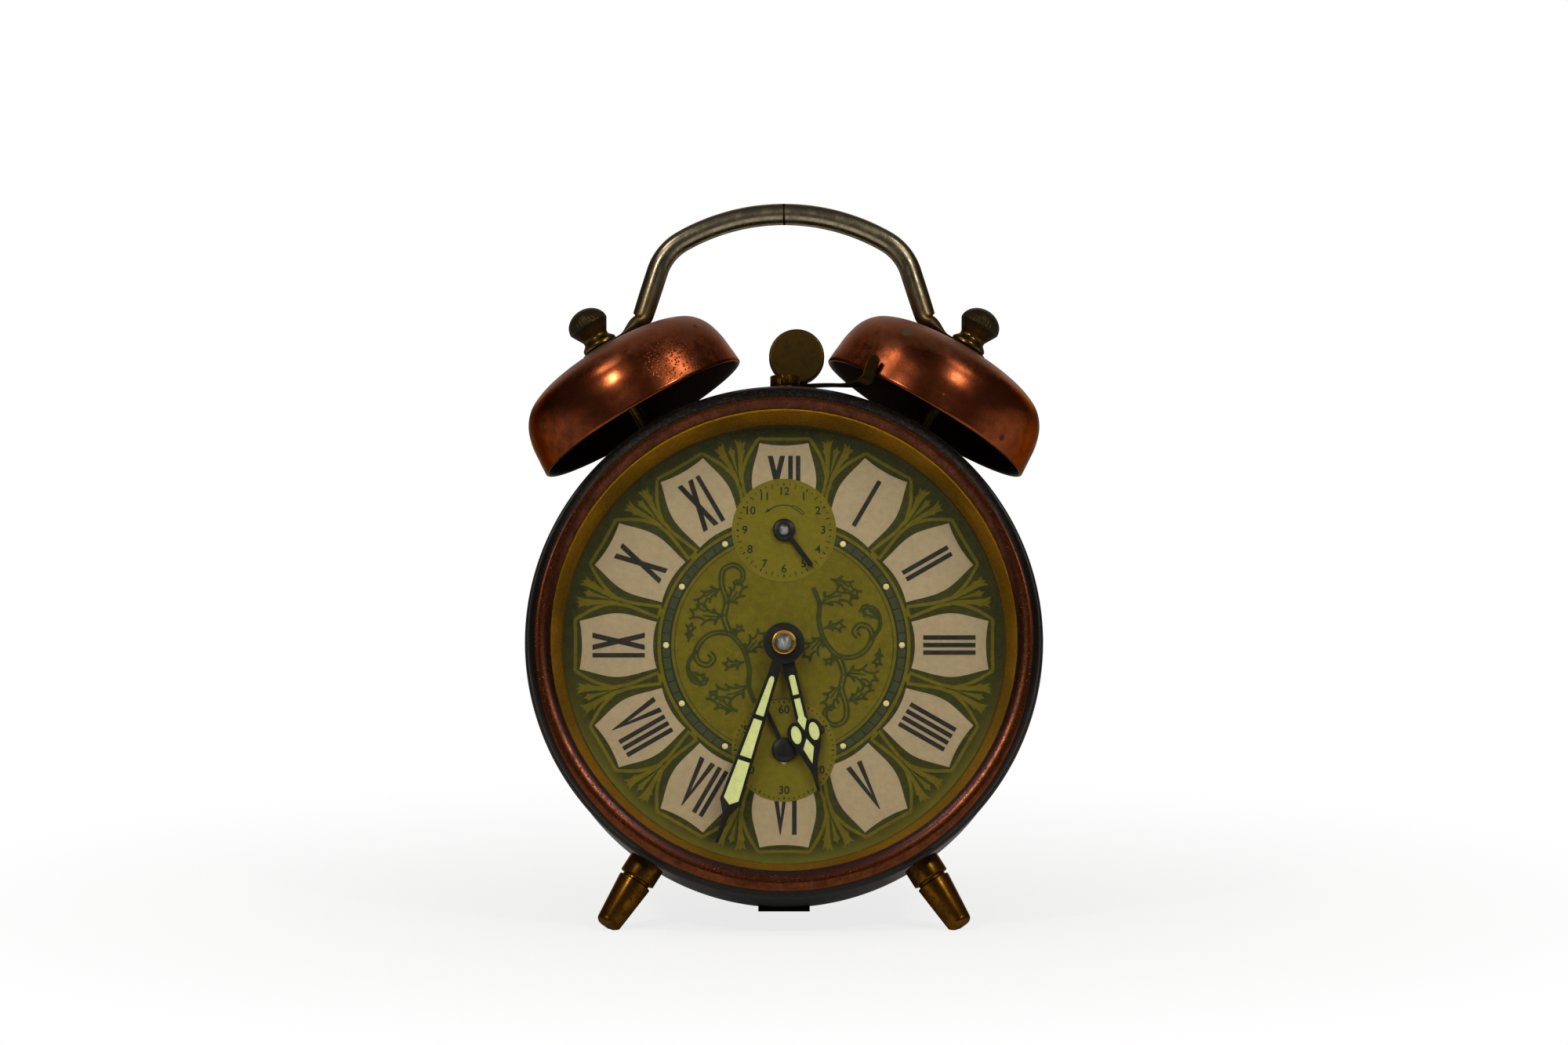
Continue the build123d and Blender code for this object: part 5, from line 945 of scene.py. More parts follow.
def makeNumerals():
    # each number stands on a ring about the middle, or hangs head inwards from IIII to VIII
    foot, head = np.array((0, numeral["foot"])), np.array((0, numeral["foot"] + numeral["height"]))
    parts = []
    for hour, text in enumerate(numeral["names"]):
        for number, outline in enumerate(numeralStrokes(text)):
            outline = eased(outline, numeral["ease"], 3)
            outline = head - outline if hour in numeral["inverted"] else foot + outline
            depth = layerDepth(4, number * 2)
            parts.append(prism(clockTurn(outline, hour * dial["step"]), depth, dial["front"]))
    printed("hour_numerals", parts, blackInk)


def makeSubdialMarks():
    # ticks and numbers for the alarm and the seconds, and a bent arrow that shows how the alarm is set
    front, back = layerDepth(11), layerDepth(8)

    def spot(radius, degrees, centre):
        return arc(radius, degrees, degrees, 1, centre)[0]

    def tick(mark, degrees, centre):
        ends = [spot(radius, degrees, centre) for radius in mark[:2]]
        return stroke(ends, mark[2], front, back)

    def number(value, radius, degrees, centre):
        at = spot(radius, degrees, centre)
        return figures(str(value), subdial["figure"], at, front, back, subdial["weight"])

    parts = [tick(subdial["alarmTicks"][quarter % 4], quarter * 7.5, alarmAt) for quarter in range(48)]
    parts += [tick(subdial["secondTick" if second % 5 else "fifthTick"], second * 6, secondsAt)
              for second in range(60)]
    over, arrow, tail = subdial["overline"], subdial["arrow"], subdial["tail"]
    line = arc(over["radius"], -over["reach"], over["reach"], 21, secondsAt)
    parts.append(stroke(line, over["width"], front, back))
    parts += [number(hour, subdial["hourRing"], hour * 30, alarmAt) for hour in range(1, 13)]
    parts += [number(tens * 10 or 60, subdial["secondRing"], tens * 60, secondsAt) for tens in range(6)]
    line = arc(arrow["radius"], arrow["start"], arrow["stop"], 22, alarmAt)
    parts.append(stroke(line, arrow["width"], front, back))
    line = np.vstack((arc(tail["outer"], tail["start"], tail["stop"], 8, alarmAt),
                      arc(tail["inner"], tail["stop"], tail["start"], 8, alarmAt)))
    parts.append(stroke(line, tail["width"], front, back, True))
    parts.append(prism([spot(radius, degrees, alarmAt) for radius, degrees in subdial["head"]], front, back))
    printed("subdial_marks", parts, blackInk)


scroll = {
    "width": 0.54, "ribWidth": 0.4, "layer": 3, "ribSpan": (0.12, 0.62), "notch": 0.42, "toothBow": 0.16,
    "notchBow": 0.1, "tipBow": 0.12, "firstTooth": 0.75, "tipRoom": 0.4, "swellFrom": 0.28, "swellOver": 0.6,
    "toothLead": 0.1, "notchLead": 0.02,
    "stems": (
        (((6.2, 12.4), (7.5, 8.8), (7.4, 5.2), (8.6, 1.0), (11.4, -2.2), (14.6, -2.6), (17.2, -1.2),
          (18.7, 1.4), (18.2, 3.6), (16.2, 4.3), (15.0, 2.9), (15.9, 1.7)), 0.5, 0.95),
        (((11.6, -2.6), (12.7, -6.0), (12.2, -9.4), (13.2, -12.8), (13.0, -16.0), (10.8, -17.2), (8.9, -16.0),
          (8.9, -14.0), (10.4, -13.5)), 0.95, 0.6),
        (((18.6, 1.0), (20.4, 4.2), (19.6, 7.4), (17.2, 8.2), (16.4, 6.8)), 0.35, 0.75),
    ),
    # foot, heading, length, half width, turn and teeth on each side
    "leaves": (
        ((8.3, 2.2), 212, 6.6, 2.1, 20, 3), ((8.4, 3.6), 62, 4.8, 1.5, 50, 2),
        ((7.4, 8.4), 42, 8.6, 2.3, 75, 3), ((9.8, 14.2), 95, 7.4, 1.7, 60, 3),
        ((12.6, -6.4), 75, 7.6, 2.3, 50, 3), ((12.2, -8.8), 232, 5.8, 2.0, -40, 3),
        ((13.2, -12.2), 78, 6.6, 1.7, -50, 3), ((20.2, 5.4), 330, 4.4, 1.5, -60, 2),
        ((20.4, -0.6), 186, 4.4, 1.2, 10, 2), ((11.6, -2.4), 265, 3.4, 1.1, -60, 2),
    ),
}


def stem(corners, startWidth, endWidth):
    # the two sides of a stem that swells along a smooth line
    line = through(corners, 7)
    half = np.linspace(startWidth, endWidth, len(line))[:, None] / 2 * normals(line)
    return [line + half, line - half]


def leaf(foot, heading, size, half, curl, teeth):
    # a toothed leaf about a rib that turns: bowed edges run out to each tooth and back to a notch
    def rib(share):
        angle = math.radians(heading + curl * share / 2)
        return np.array(foot) + size * share * np.array((math.sin(angle), math.cos(angle)))

    def aside(share):
        angle = math.radians(heading + curl * share)
        return np.array((math.cos(angle), -math.sin(angle)))

    lines = []
    for side in (1, -1):
        last = rib(0.0)
        for number in range(teeth):
            share = (number + scroll["firstTooth"]) / (teeth + scroll["tipRoom"])
            swell = half * math.sin(math.pi * (scroll["swellFrom"] + scroll["swellOver"] * number / teeth))
            tooth = rib(share + scroll["toothLead"]) + side * swell * aside(share)
            notch = rib(share + scroll["notchLead"]) + side * swell * scroll["notch"] * aside(share)
            lines += [bowed(last, tooth, scroll["toothBow"] * side * math.dist(last, tooth), 7),
                      bowed(tooth, notch, scroll["notchBow"] * side * math.dist(tooth, notch), 5)]
            last = notch
        lines.append(bowed(last, rib(1.0), scroll["tipBow"] * side * math.dist(last, rib(1.0)), 7))
    return lines, np.array([rib(share) for share in np.linspace(*scroll["ribSpan"], 7)])


def makeScrolls():
    # plain traditional scrollwork, the same on both sides after half a turn
    lines = []
    for corners, startWidth, endWidth in scroll["stems"]:
        lines += [(line, scroll["width"]) for line in stem(corners, startWidth, endWidth)]
    for leafPlan in scroll["leaves"]:
        edges, rib = leaf(*leafPlan)
        lines += [(line, scroll["width"]) for line in edges] + [(rib, scroll["ribWidth"])]
    parts = [ringLine(dial["hairline"], 2)]
    for number, (line, width) in enumerate(lines):
        for side in (1, -1):
            parts.append(stroke(line * side, width, layerDepth(scroll["layer"], number), dial["front"]))
    printed("dial_scrolls", parts, printedInk("scroll_green", paint(50, 54, 18), paint(42, 46, 14), 0.42))


makeDialPlate()
makeGiltPrint()
makeCartouches()
makeTrack()
makeNumerals()
makeSubdialMarks()
makeScrolls()
print("dial printed")

# Hands
minuteHand = {
    "front": 4.7, "thickness": 0.4, "angle": 198.5, "hub": 4.4, "bore": 1.76, "frame": 0.65, "bevel": 0.1,
    "rootHalf": 1.2, "wideHalf": 2.3, "shoulder": 36.0, "neck": (0.75, 38.9), "tip": (0.35, 45.2),
    "windows": ((7.8, 16.4), (17.4, 25.8), (26.8, 35.4)), "point": 1.2, "footShare": 0.55, "footDrop": 0.2,
    "footRise": 0.5,
}
hourHand = {
    "front": 6.1, "thickness": 0.4, "angle": 166.8, "hub": 4.2, "bore": 2.8, "bevel": 0.1, "shankHalf": 1.3,
    "lobe": (1.95, 19.7), "lobeHalf": (1.05, 1.95), "frame": 0.8,
    "tail": ((3.3, 20.9), (2.75, 22.7), (1.75, 25.0), (0.8, 27.6), (0.5, 29.6), (0.35, 32.6)),
    "windows": (
        ((-0.65, 7.2), (-0.65, 11.2), (0.65, 11.2), (0.65, 7.2), (0.3, 6.9), (-0.3, 6.9)),
        ((-0.65, 12.1), (-0.65, 16.2), (-1.0, 16.8), (0.0, 19.1), (1.0, 16.8), (0.65, 16.2), (0.65, 12.1)),
        ((0.0, 20.9), (-1.15, 23.0), (0.0, 26.4), (1.15, 23.0)),
    ),
}
smallHand = {
    "front": 7.1, "thickness": 0.35, "bevel": 0.08, "root": 0.2, "hubFront": 6.85, "hubBack": 7.75,
    "rim": 0.25, "dome": ((0.0, 0.15), (0.55, 0.1)),
}
secondsHand = {
    "at": secondsAt, "angle": 336.5, "hub": 2.6, "bore": 0.0, "half": 0.48, "reach": 9.8, "endHalf": 0.42,
}
alarmHand = {
    "at": alarmAt, "angle": 143.0, "hub": 2.4, "bore": 1.13, "half": 0.6, "reach": 9.75, "endHalf": 0.56,
}
pasteGap = {"front": 0.09, "back": 0.04}
handRing = {"inner": 1.76, "outer": 2.6, "front": 3.6, "back": 4.6, "eases": (0.22, 0.3, 0.1, 0.1)}


def hubAndBlade(hub, right):
    # the outline of a round hub with a blade: the right side outwards, its mirror back, then round the hub
    right = np.asarray(right, float)
    gap = math.degrees(math.asin(right[0][0] / hub))
    return np.vstack((right, right[::-1] * mirror, arc(hub, -gap, gap - 360, 60)[1:-1]))


def makeHand(name, hand, outline, windows, body, node):
    # a black frame with rounded edges, and pale paste that fills its windows a little lower
    boreLoop = arc(hand["bore"], 360, 0, 41)[:-1]
    loops = [outline] + [np.asarray(window)[::-1] for window in windows] + [boreLoop]
    loops = [clockTurn(loop, hand["angle"]) for loop in loops]
    sheet = cutSheet(loops, hand["front"], hand["thickness"], hand["bevel"])
    makePiece(name, [sheet], body, black, (node,), 50)
    front = hand["front"] + pasteGap["front"]
    back = hand["front"] + hand["thickness"] - pasteGap["back"]
    fills = [prism(clockTurn(window, hand["angle"]), front, back) for window in windows]
    makePiece(name + "_paste", fills, body, paste)


def makeMinuteHand():
    # a blade that widens evenly to its shoulder and narrows to a long tip; its windows keep a frame's width
    hand = minuteHand
    first, last = hand["windows"][0][0], hand["windows"][-1][1]

    def halfAt(reach):
        share = (reach - first) / (hand["shoulder"] - first)
        return hand["rootHalf"] + (hand["wideHalf"] - hand["rootHalf"]) * share

    root = math.sqrt(hand["hub"]**2 - hand["rootHalf"]**2)
    right = [(hand["rootHalf"], root), (hand["rootHalf"], first), (hand["wideHalf"], hand["shoulder"]),
             hand["neck"], hand["tip"]]
    windows = []
    for start, stop in hand["windows"]:
        low, high = halfAt(start) - hand["frame"], halfAt(stop) - hand["frame"]
        foot = [(-low, start)]
        if start == first:
            foot = [(-low * hand["footShare"], start - hand["footDrop"]), (-low, start + hand["footRise"])]
        left = np.array(foot + [(-high, stop)])
        point = [(0, stop + hand["point"])] if stop == last else np.zeros((0, 2))
        windows.append(np.vstack((left, point, left[::-1] * mirror)))
    makeHand("minute_hand_frame", hand, hubAndBlade(hand["hub"], right), windows, "minute", "minute_hand")


def makeHourHand():
    # a narrow shank, two round lobes and a tapering tail, each with its windows
    hand = hourHand
    half = [reach + hand["frame"] for reach in hand["lobeHalf"]]
    root = math.sqrt(hand["hub"]**2 - hand["shankHalf"]**2)
    meet = -math.degrees(math.acos((hand["shankHalf"] - hand["lobe"][0]) / half[0]))
    lobe = ellipse(hand["lobe"], half, meet, 22, 16)
    right = np.vstack(([(hand["shankHalf"], root)], lobe, through(hand["tail"], 4)))
    windows = [np.array(window) for window in hand["windows"]]
    for side in (-1, 1):
        windows.append(ellipse((side * hand["lobe"][0], hand["lobe"][1]), hand["lobeHalf"])[:-1])
    makeHand("hour_hand_frame", hand, hubAndBlade(hand["hub"], right), windows, "hour", "hour_hand")


def makeSmallHand(name, hand, body, node):
    # a raised round hub and a straight blade with a rounded end
    hub, bore, half = hand["hub"], hand["bore"], hand["half"]
    rim, root, front, back = (smallHand[key] for key in ("rim", "root", "hubFront", "hubBack"))
    end = ellipse((0, hand["reach"] - hand["endHalf"]), (hand["endHalf"], hand["endHalf"]), 0, 180, 11)
    blade = clockTurn(np.vstack(([(half, root)], end, [(-half, root)])), hand["angle"], hand["at"])
    top = [(bore, front)] if bore else [(hub * share, front - rise) for share, rise in smallHand["dome"]]
    boss = top + [(hub - rim, front), (hub, front + rim), (hub, back), (bore, back)]
    sheet = cutSheet([blade], smallHand["front"], smallHand["thickness"], smallHand["bevel"])
    dome = turned(boss, 72, (hand["at"][0], 0, hand["at"][1]), closed=bore > 0)
    makePiece(name, [sheet, dome], body, black, (node,), 50)


def makeHandRing():
    # the bright ring that holds the hands on
    inner, outer, front, back = (handRing[key] for key in ("inner", "outer", "front", "back"))
    ring = eased([(inner, front), (outer, front), (outer, back), (inner, back)], handRing["eases"])
    brass = agedBrass("ring_brass", paint(210, 164, 72), paint(176, 130, 48), paint(80, 56, 22), 0.16, 0.3)
    makePiece("hand_ring", [turned(ring, 96)], "minute", brass, ("hand_nut",))


paste = printedInk("lume_paste", paint(198, 202, 138), paint(184, 188, 122), 0.6)
makeMinuteHand()
makeHourHand()
makeSmallHand("seconds_pointer", secondsHand, "seconds", "seconds_hand")
makeSmallHand("alarm_pointer", alarmHand, "alarm_set", "alarm_hand")
makeHandRing()
print("hands done")

# Bells, nuts and handle
bell = {
    "tilt": 30.5, "depth": 21.0, "rim": 59.0, "radius": 24.0, "height": 17.0, "wall": 0.9, "bore": 1.9,
    "shares": ((1, 0), (0.99, 0.2), (0.972, 0.42), (0.925, 0.625), (0.835, 0.785), (0.7, 0.885), (0.53, 0.95),
               (0.34, 0.985), (0.16, 1)),
    "lipDrop": 0.35, "lipFrom": 0.3, "swell": (0.045, 0.03), "segments": 300,
}
nut = {
    "start": 77.0, "knurls": 30, "knurlDepth": 0.16, "bore": 1.75, "boreEnd": 5.7,
    "profile": ((1.75, 0.0), (3.85, 0.0), (3.85, 0.75), (2.85, 1.75), (2.85, 2.4), (4.35, 5.0)),
    "eases": (0.05, 0.12, 0.2, 0.3, 0.25, 0.1),
    "capRadius": 4.4, "capAt": 5.2, "domeEnd": 8.9, "rimLow": 5.2, "rimHigh": 6.4, "rimFade": 0.2,
}


def tilted(degrees):
    # a direction that leans to the right from straight up, and the one square to it
    tilt = math.radians(degrees)
    return (math.sin(tilt), 0.0, math.cos(tilt)), (math.cos(tilt), 0.0, -math.sin(tilt))


def makeBell(name, side, material, node):
    # a spun dome: the outer line of a bell carried round its axis, less a wall, with a rounded rim
    axis, square = tilted(bell["tilt"] * side)
    shares, wall = np.array(bell["shares"], float), bell["wall"]
    outer = through(shares * (bell["radius"], bell["height"]), 9)
    inner = through(shares * (bell["radius"] - wall, bell["height"] - wall), 9)[::-1]
    lip, drop, start = wall / 2, bell["lipDrop"], math.degrees(bell["lipFrom"])
    rim = ellipse((bell["radius"] - lip, drop), (lip, -drop), 180 - start, start, 7)
    top = [(bell["bore"], bell["height"]), (bell["bore"], bell["height"] - wall)]
    # two points of each line make room for the rounded rim
    profile = np.vstack((outer[2:], top, inner[:-2], rim))
    profile[:, 1] += bell["rim"]

    def hammered(radius, height, angle):
        # barely uneven, as spun copper is
        swell = (bell["swell"][0] * np.sin(3 * angle + side)
                 + bell["swell"][1] * np.sin(5 * angle + 2 * side) * np.sin(height * 0.5))
        return radius + swell * np.clip(radius / bell["radius"], 0, 1)**2

    makePiece(name, [turned(profile, bell["segments"], (0, bell["depth"], 0), axis, square, shape=hammered)],
              "case", material, (node,), 45)


def makeNut(name, side, node):
    # a knob nut: cone foot, waist, knurled cap and dome; the knurl takes a cosine cubed off the radius
    axis, square = tilted(bell["tilt"] * side)
    dome = ellipse((0, nut["capAt"]), (nut["capRadius"], nut["domeEnd"] - nut["capAt"]), 0, 90, 22)
    body = eased(nut["profile"], nut["eases"], 4)[4:]
    hole = [(0.0, nut["boreEnd"]), (nut["bore"], nut["boreEnd"]), (nut["bore"], 0.0)]
    profile = np.vstack((hole, body, dome))
    profile[:, 1] += nut["start"]

    def knurled(radius, height, angle):
        low, high = nut["start"] + nut["rimLow"], nut["start"] + nut["rimHigh"]
        band = (np.clip((height - low) / nut["rimFade"], 0, 1)
                * np.clip((high - height) / nut["rimFade"], 0, 1))
        groove = np.abs(np.cos(angle * nut["knurls"] / 2))**3
        return radius - nut["knurlDepth"] * band * groove

    makePiece(name, [turned(profile, nut["knurls"] * 8, (0, bell["depth"], 0), axis, square, False, knurled)],
              "case", darkBrass, (node,), 50)


verdigris, soot, dry = paint(52, 70, 50), paint(40, 20, 14), paint(150, 120, 96)
# the last place given for each bell is its middle, about which its inner side is painted dark as shade
leftCopper = agedCopper("left_bell_copper", 1.0, [
    ((-18.9, 8.2, 68.7), 0.7, soot, -0.6), ((-51.5, 9.6, 47.4), 0.8, soot, -0.4),
    ((-20.0, 6.0, 66.5), 0.9, soot, -0.6),
], 0.02, ((-24.5, 0.5, 61.5), 8.0), (-31.5, 21.0, 53.5))
rightCopper = agedCopper("right_bell_copper", 2.3, [
    ((26.4, 2.8, 66.6), 1.3, verdigris, 0.5), ((46.4, 4.8, 44.3), 0.9, soot, -0.8),
    ((34.0, -2.0, 52.5), 0.6, dry, 0.2),
], 0.0, None, (31.5, 21.0, 53.5))
for (name, side), copper in zip(sides, (leftCopper, rightCopper)):
    makeBell(name + "_bell_shell", side, copper, name + "_bell")
for name, side in sides:
    makeNut(name + "_bell_knob", side, name + "_bell_nut")

handle = {
    "rod": 2.3, "top": 94.95, "topRadius": 43.5, "cornerRadius": 11.65, "cornerBearing": 30.0,
    "legSlope": 17.6, "bendRadius": 2.2, "eyeBottom": 76.05, "eyeHalf": 0.45, "eyeRadius": 4.3,
    "flatten": 5.4, "bendHalf": 1.5, "bendBroad": 2.9, "pressSteps": 18,
}


def handleHalf():
    # top arc, corner arc, straight leg, bend, then a run square to the bell's axis that flattens into the eye
    bearing, lean = (math.radians(handle[key]) for key in ("cornerBearing", "legSlope"))
    tilt = math.radians(bell["tilt"])
    topCentre = handle["top"] - handle["topRadius"]
    reach = handle["topRadius"] - handle["cornerRadius"]
    corner = np.array((reach * math.sin(bearing), topCentre + reach * math.cos(bearing)))
    legOut = np.array((math.cos(lean), math.sin(lean)))
    legDown = np.array((math.sin(lean), -math.cos(lean)))
    bellUp = np.array((math.sin(tilt), math.cos(tilt)))
    bellOut = np.array((math.cos(tilt), -math.sin(tilt)))
    legStart = corner + handle["cornerRadius"] * legOut
    endHeight = handle["eyeBottom"] + handle["bendHalf"]
    fall = legStart @ bellUp + handle["bendRadius"] * (math.sin(lean + tilt) - 1) - endHeight
    legEnd = legStart + fall / math.cos(lean + tilt) * legDown
    bend = legEnd + handle["bendRadius"] * legOut
    degrees = math.degrees
    topArc = arc(handle["topRadius"], 0, degrees(bearing), 22, (0, topCentre))
    cornerArc = arc(handle["cornerRadius"], degrees(bearing), 90 - degrees(lean), 16, corner)[1:]
    leg = np.linspace(legStart, legEnd, 10)[1:]
    bendArc = arc(handle["bendRadius"], 270 - degrees(lean), 180 + degrees(tilt), 14, bend)[1:]
    farSide = bellUp * endHeight + bellOut * handle["eyeRadius"]
    run = np.linspace(bendArc[-1], farSide, 40)[1:]
    line = np.vstack((topArc, cornerArc, leg, bendArc, run))
    # along the run, the distance from the bell's axis: below 0 inside it
    along = np.vstack((bendArc[-1:], run)) @ bellOut
    flat = np.clip((along - along[0]) / handle["flatten"], 0, 1)
    flat = flat * flat * (3 - 2 * flat)
    thin = handle["bendHalf"] + (handle["eyeHalf"] - handle["bendHalf"]) * flat
    broad = handle["bendBroad"] + (handle["eyeRadius"] - handle["bendBroad"]) * flat
    rounding = np.sqrt(np.clip(1 - np.clip(along / handle["eyeRadius"], 0, 0.999)**2, 0, 1))
    # before the run the rod is pressed flatter towards the bend, and the underside stays level as it thins
    before, steps = len(line) - len(run) - 1, handle["pressSteps"]
    press = np.clip((np.arange(before) - (before - 1 - steps)) / steps, 0, 1)**2
    sunk = np.concatenate((np.zeros(before), handle["bendHalf"] - thin))
    thin = np.concatenate((handle["rod"] + (handle["bendHalf"] - handle["rod"]) * press, thin))
    broad = np.concatenate((handle["rod"] + (handle["bendBroad"] - handle["rod"]) * press, broad * rounding))
    return line - sunk[:, None] * bellUp, thin, broad


def makeHandle():
    # a round rod along the half line and its mirror, flattened at both ends
    line, thin, broad = handleHalf()
    line = np.vstack((line[:0:-1] * mirror, line))
    thin, broad = (np.concatenate((half[:0:-1], half)) for half in (thin, broad))
    path = np.insert(line, 1, bell["depth"], 1)
    wide = np.insert(normals(line), 1, 0.0, 1)
    deep = np.repeat(((0.0, 1.0, 0.0),), len(line), 0)
    makePiece("handle_rod", [carried(path, wide, deep, thin, broad, 40)], "case", handleSteel(),
              ("handle",), 55)


makeHandle()
print("bells, nuts and handle done")

# Feet, lever and hammer
foot = {
    "tilt": 147.7, "depth": 12.5, "inner": 49.2, "stud": 1.6,
    "profile": ((1.6, 54.42), (3.95, 54.42), (3.95, 58.55), (3.1, 58.62), (3.1, 59.25), (3.7, 59.3),
                (2.75, 69.3)),
    "eases": (0.05, 0.18, 0.2, 0.12, 0.12, 0.25, 0.3), "round": 1.45, "roundFrom": 6, "end": 70.75,
}
lever = {
    "pivot": (0.2, 12.0), "bottom": 55.5, "thickness": 0.7, "hub": 3.3, "halfWidth": 1.5,
    "tabAt": (17.2, -0.5), "tabHeight": 6.2, "tabHalf": 1.3, "tabTilt": 22.0, "fingerTip": (-4.0, 20.0),
    "fingerHalf": 1.0, "pegDrop": 1.6, "bore": 1.35, "hubEase": 0.12, "twistFrom": 0.38, "twistOver": 0.34,
    "squareness": 5.0,
    # share of the way to the tab, and drop
    "sag": ((0.0, 0.0), (0.3, 0.0), (0.55, 0.3), (0.76, 0.75), (0.9, 0.75)),
    # from the foot of the tab: right, back and up
    "bend": ((0.35, 0.1, 0.1), (1.05, 0.0, 2.0)),
}
head = {"at": (2.7, 63.9), "radius": 5.9, "front": 18.3, "back": 21.7, "edge": 0.5}


def makeFoot(name, side, node):
    # a turned stud foot: collar, groove, taper and rounded end, flat where it meets the table
    axis, square = tilted(foot["tilt"] * side)
    centre = (foot["profile"][-1][0] - foot["round"], foot["end"] - foot["round"])
    tip = ellipse(centre, (foot["round"], foot["round"]), foot["roundFrom"], 90, 10)
    body = eased(foot["profile"], foot["eases"], 4)
    stud = [(0.0, foot["inner"]), (foot["stud"], foot["inner"])]
    profile = np.vstack((stud, body, tip, [(0.0, foot["end"])]))
    points, faces = turned(profile, 96, (0, foot["depth"], 0), axis, square, False)
    drop = np.minimum(toRow(points)[..., 2:] / mm, 0)
    up = np.array((0.0, -math.sin(leanBack), math.cos(leanBack)))
    makePiece(name, [(points - drop * up, faces)], "case", footBrass, (node,), 45)


def makeLever():
    # a strip that runs from the screw to the right, turns up over a bend and ends in a rounded tab, with a
    # hub round the screw and a finger that carries a peg
    pivot, tabAt, fingerTip = (np.array(lever[key]) for key in ("pivot", "tabAt", "fingerTip"))
    low, high = lever["bottom"], lever["bottom"] + lever["thickness"]
    middle, half = (low + high) / 2, lever["thickness"] / 2
    lean = math.radians(lever["tabTilt"])
    tabTop = (tabAt[0] + lever["tabHeight"] * math.sin(lean), tabAt[1],
              low + lever["tabHeight"] * math.cos(lean))
    corners = [(*(pivot + share * (tabAt - pivot)), middle - drop) for share, drop in lever["sag"]]
    corners += [(tabAt[0] + x, tabAt[1] + y, middle + z) for x, y, z in lever["bend"]]
    path = through(corners + [tabTop], 8)
    ahead = unit(np.gradient(path, axis=0))
    flatWide = unit((pivot[1] - tabAt[1], tabAt[0] - pivot[0], 0.0))
    tabWide = np.array((math.cos(lean), 0.0, -math.sin(lean)))
    share = np.clip((np.linspace(0, 1, len(path)) - lever["twistFrom"]) / lever["twistOver"], 0, 1)[:, None]
    share = share * share * (3 - 2 * share)
    wide = (1 - share) * flatWide + share * tabWide
    wide = unit(wide - (wide * ahead).sum(1)[:, None] * ahead)
    left = np.linalg.norm(path - path[-1], axis=1)
    roundEnd = np.sqrt(np.clip(1 - np.clip(1 - left / lever["tabHalf"], 0, 0.995)**2, 0, 1))
    reach = (lever["halfWidth"] + (lever["tabHalf"] - lever["halfWidth"]) * share[:, 0]) * roundEnd
    strip = carried(path, wide, np.cross(ahead, wide), reach, half, 20, lever["squareness"])
    run = fingerTip - pivot
    fingerPath = np.linspace((*pivot, middle), (*fingerTip, middle), 8)
    fingerWide = np.repeat(unit(((-run[1], run[0], 0.0),)), 8, 0)
    fingerDeep = np.repeat(((0.0, 0.0, 1.0),), 8, 0)
    finger = carried(fingerPath, fingerWide, fingerDeep, lever["fingerHalf"], half, 20, lever["squareness"])
    hub = eased([(lever["bore"], low), (lever["hub"], low), (lever["hub"], high), (lever["bore"], high)],
                lever["hubEase"], 3)
    pegEnd = high - lever["pegDrop"]
    peg = [(0.0, pegEnd), (lever["fingerHalf"], pegEnd), (lever["fingerHalf"], high), (0.0, high)]
    parts = [strip, finger, turned(hub, 72, (*pivot, 0.0), (0, 0, 1), (1, 0, 0)),
             turned(peg, 32, (*fingerTip, 0.0), (0, 0, 1), (1, 0, 0), False)]
    makePiece("silencer_strip", parts, "silencer", leverBrass, ("silencer_lever",), 40)


def makeHammerHead():
    # a thick disc with rounded edges; the two corners on its axis stay sharp
    front, back, radius, edge = (head[key] for key in ("front", "back", "radius", "edge"))
    corners = [(0, front), (radius, front), (radius, back), (0, back)]
    rounded = eased(corners, (0.001, edge, edge, 0.001), 7)[7:21]
    disc = turned(np.vstack(([(0, front)], rounded, [(0, back)])), 120, (head["at"][0], 0, head["at"][1]),
                  closed=False)
    bronze = agedBrass("hammer_bronze", paint(88, 67, 27), paint(60, 44, 16), paint(32, 24, 10), 0.34)
    makePiece("hammer_disc", [disc], "hammer", bronze, ("hammer_head",), 45)


for name, side in sides:
    makeFoot(name + "_foot_stud", side, name + "_foot")
makeLever()
makeHammerHead()
smoothed("hammer_arm", "hammer_strip", leverBrass)
smoothed("silencer_screw", "silencer_screw_head", footBrass)
for name, side in sides:
    smoothed(name + "_bell_post", name + "_bell_pillar", darkBrass)
print("feet, lever and hammer done")

# Back of the case
coverFinish = agedCopper("cover_copper", 4.1, (), 0.04)
smoothed("back_cover", "rear_cover", coverFinish)
smoothed("back_cover_screws", "rear_cover_screws", brightSteel)
smoothed("rear_rest", "rear_rest_block", lacquer)
for node, name in (("winding_key", "time_key"), ("alarm_winding_key", "alarm_key"),
                   ("time_set_knob", "time_knob"), ("alarm_set_knob", "alarm_knob")):
    smoothed(node, name, plate)
for node, name in (("centre_arbor", "centre_post"), ("alarm_arbor", "alarm_post"),
                   ("regulator_lever", "regulator_arm")):
    smoothed(node, name, brightSteel)

backMarks = {
    "inner": 41.75, "outer": 41.8, "width": 0.5, "barb": 1.1, "point": 2.4, "keyRing": 15.2, "knobRing": 7.6,
}


def arrowMark(centre, radius, start, stop):
    # an arc with a pointed end, drawn on the cover
    line = arc(radius, start, stop, 26, centre)
    ahead = unit(line[-1] - line[-2])
    aside = np.array((-ahead[1], ahead[0])) * backMarks["barb"]
    tip = [line[-1] + aside, line[-1] + ahead * backMarks["point"], line[-1] - aside]
    return [stroke(line, backMarks["width"], backMarks["outer"], backMarks["inner"]),
            prism(tip, backMarks["outer"], backMarks["inner"])]


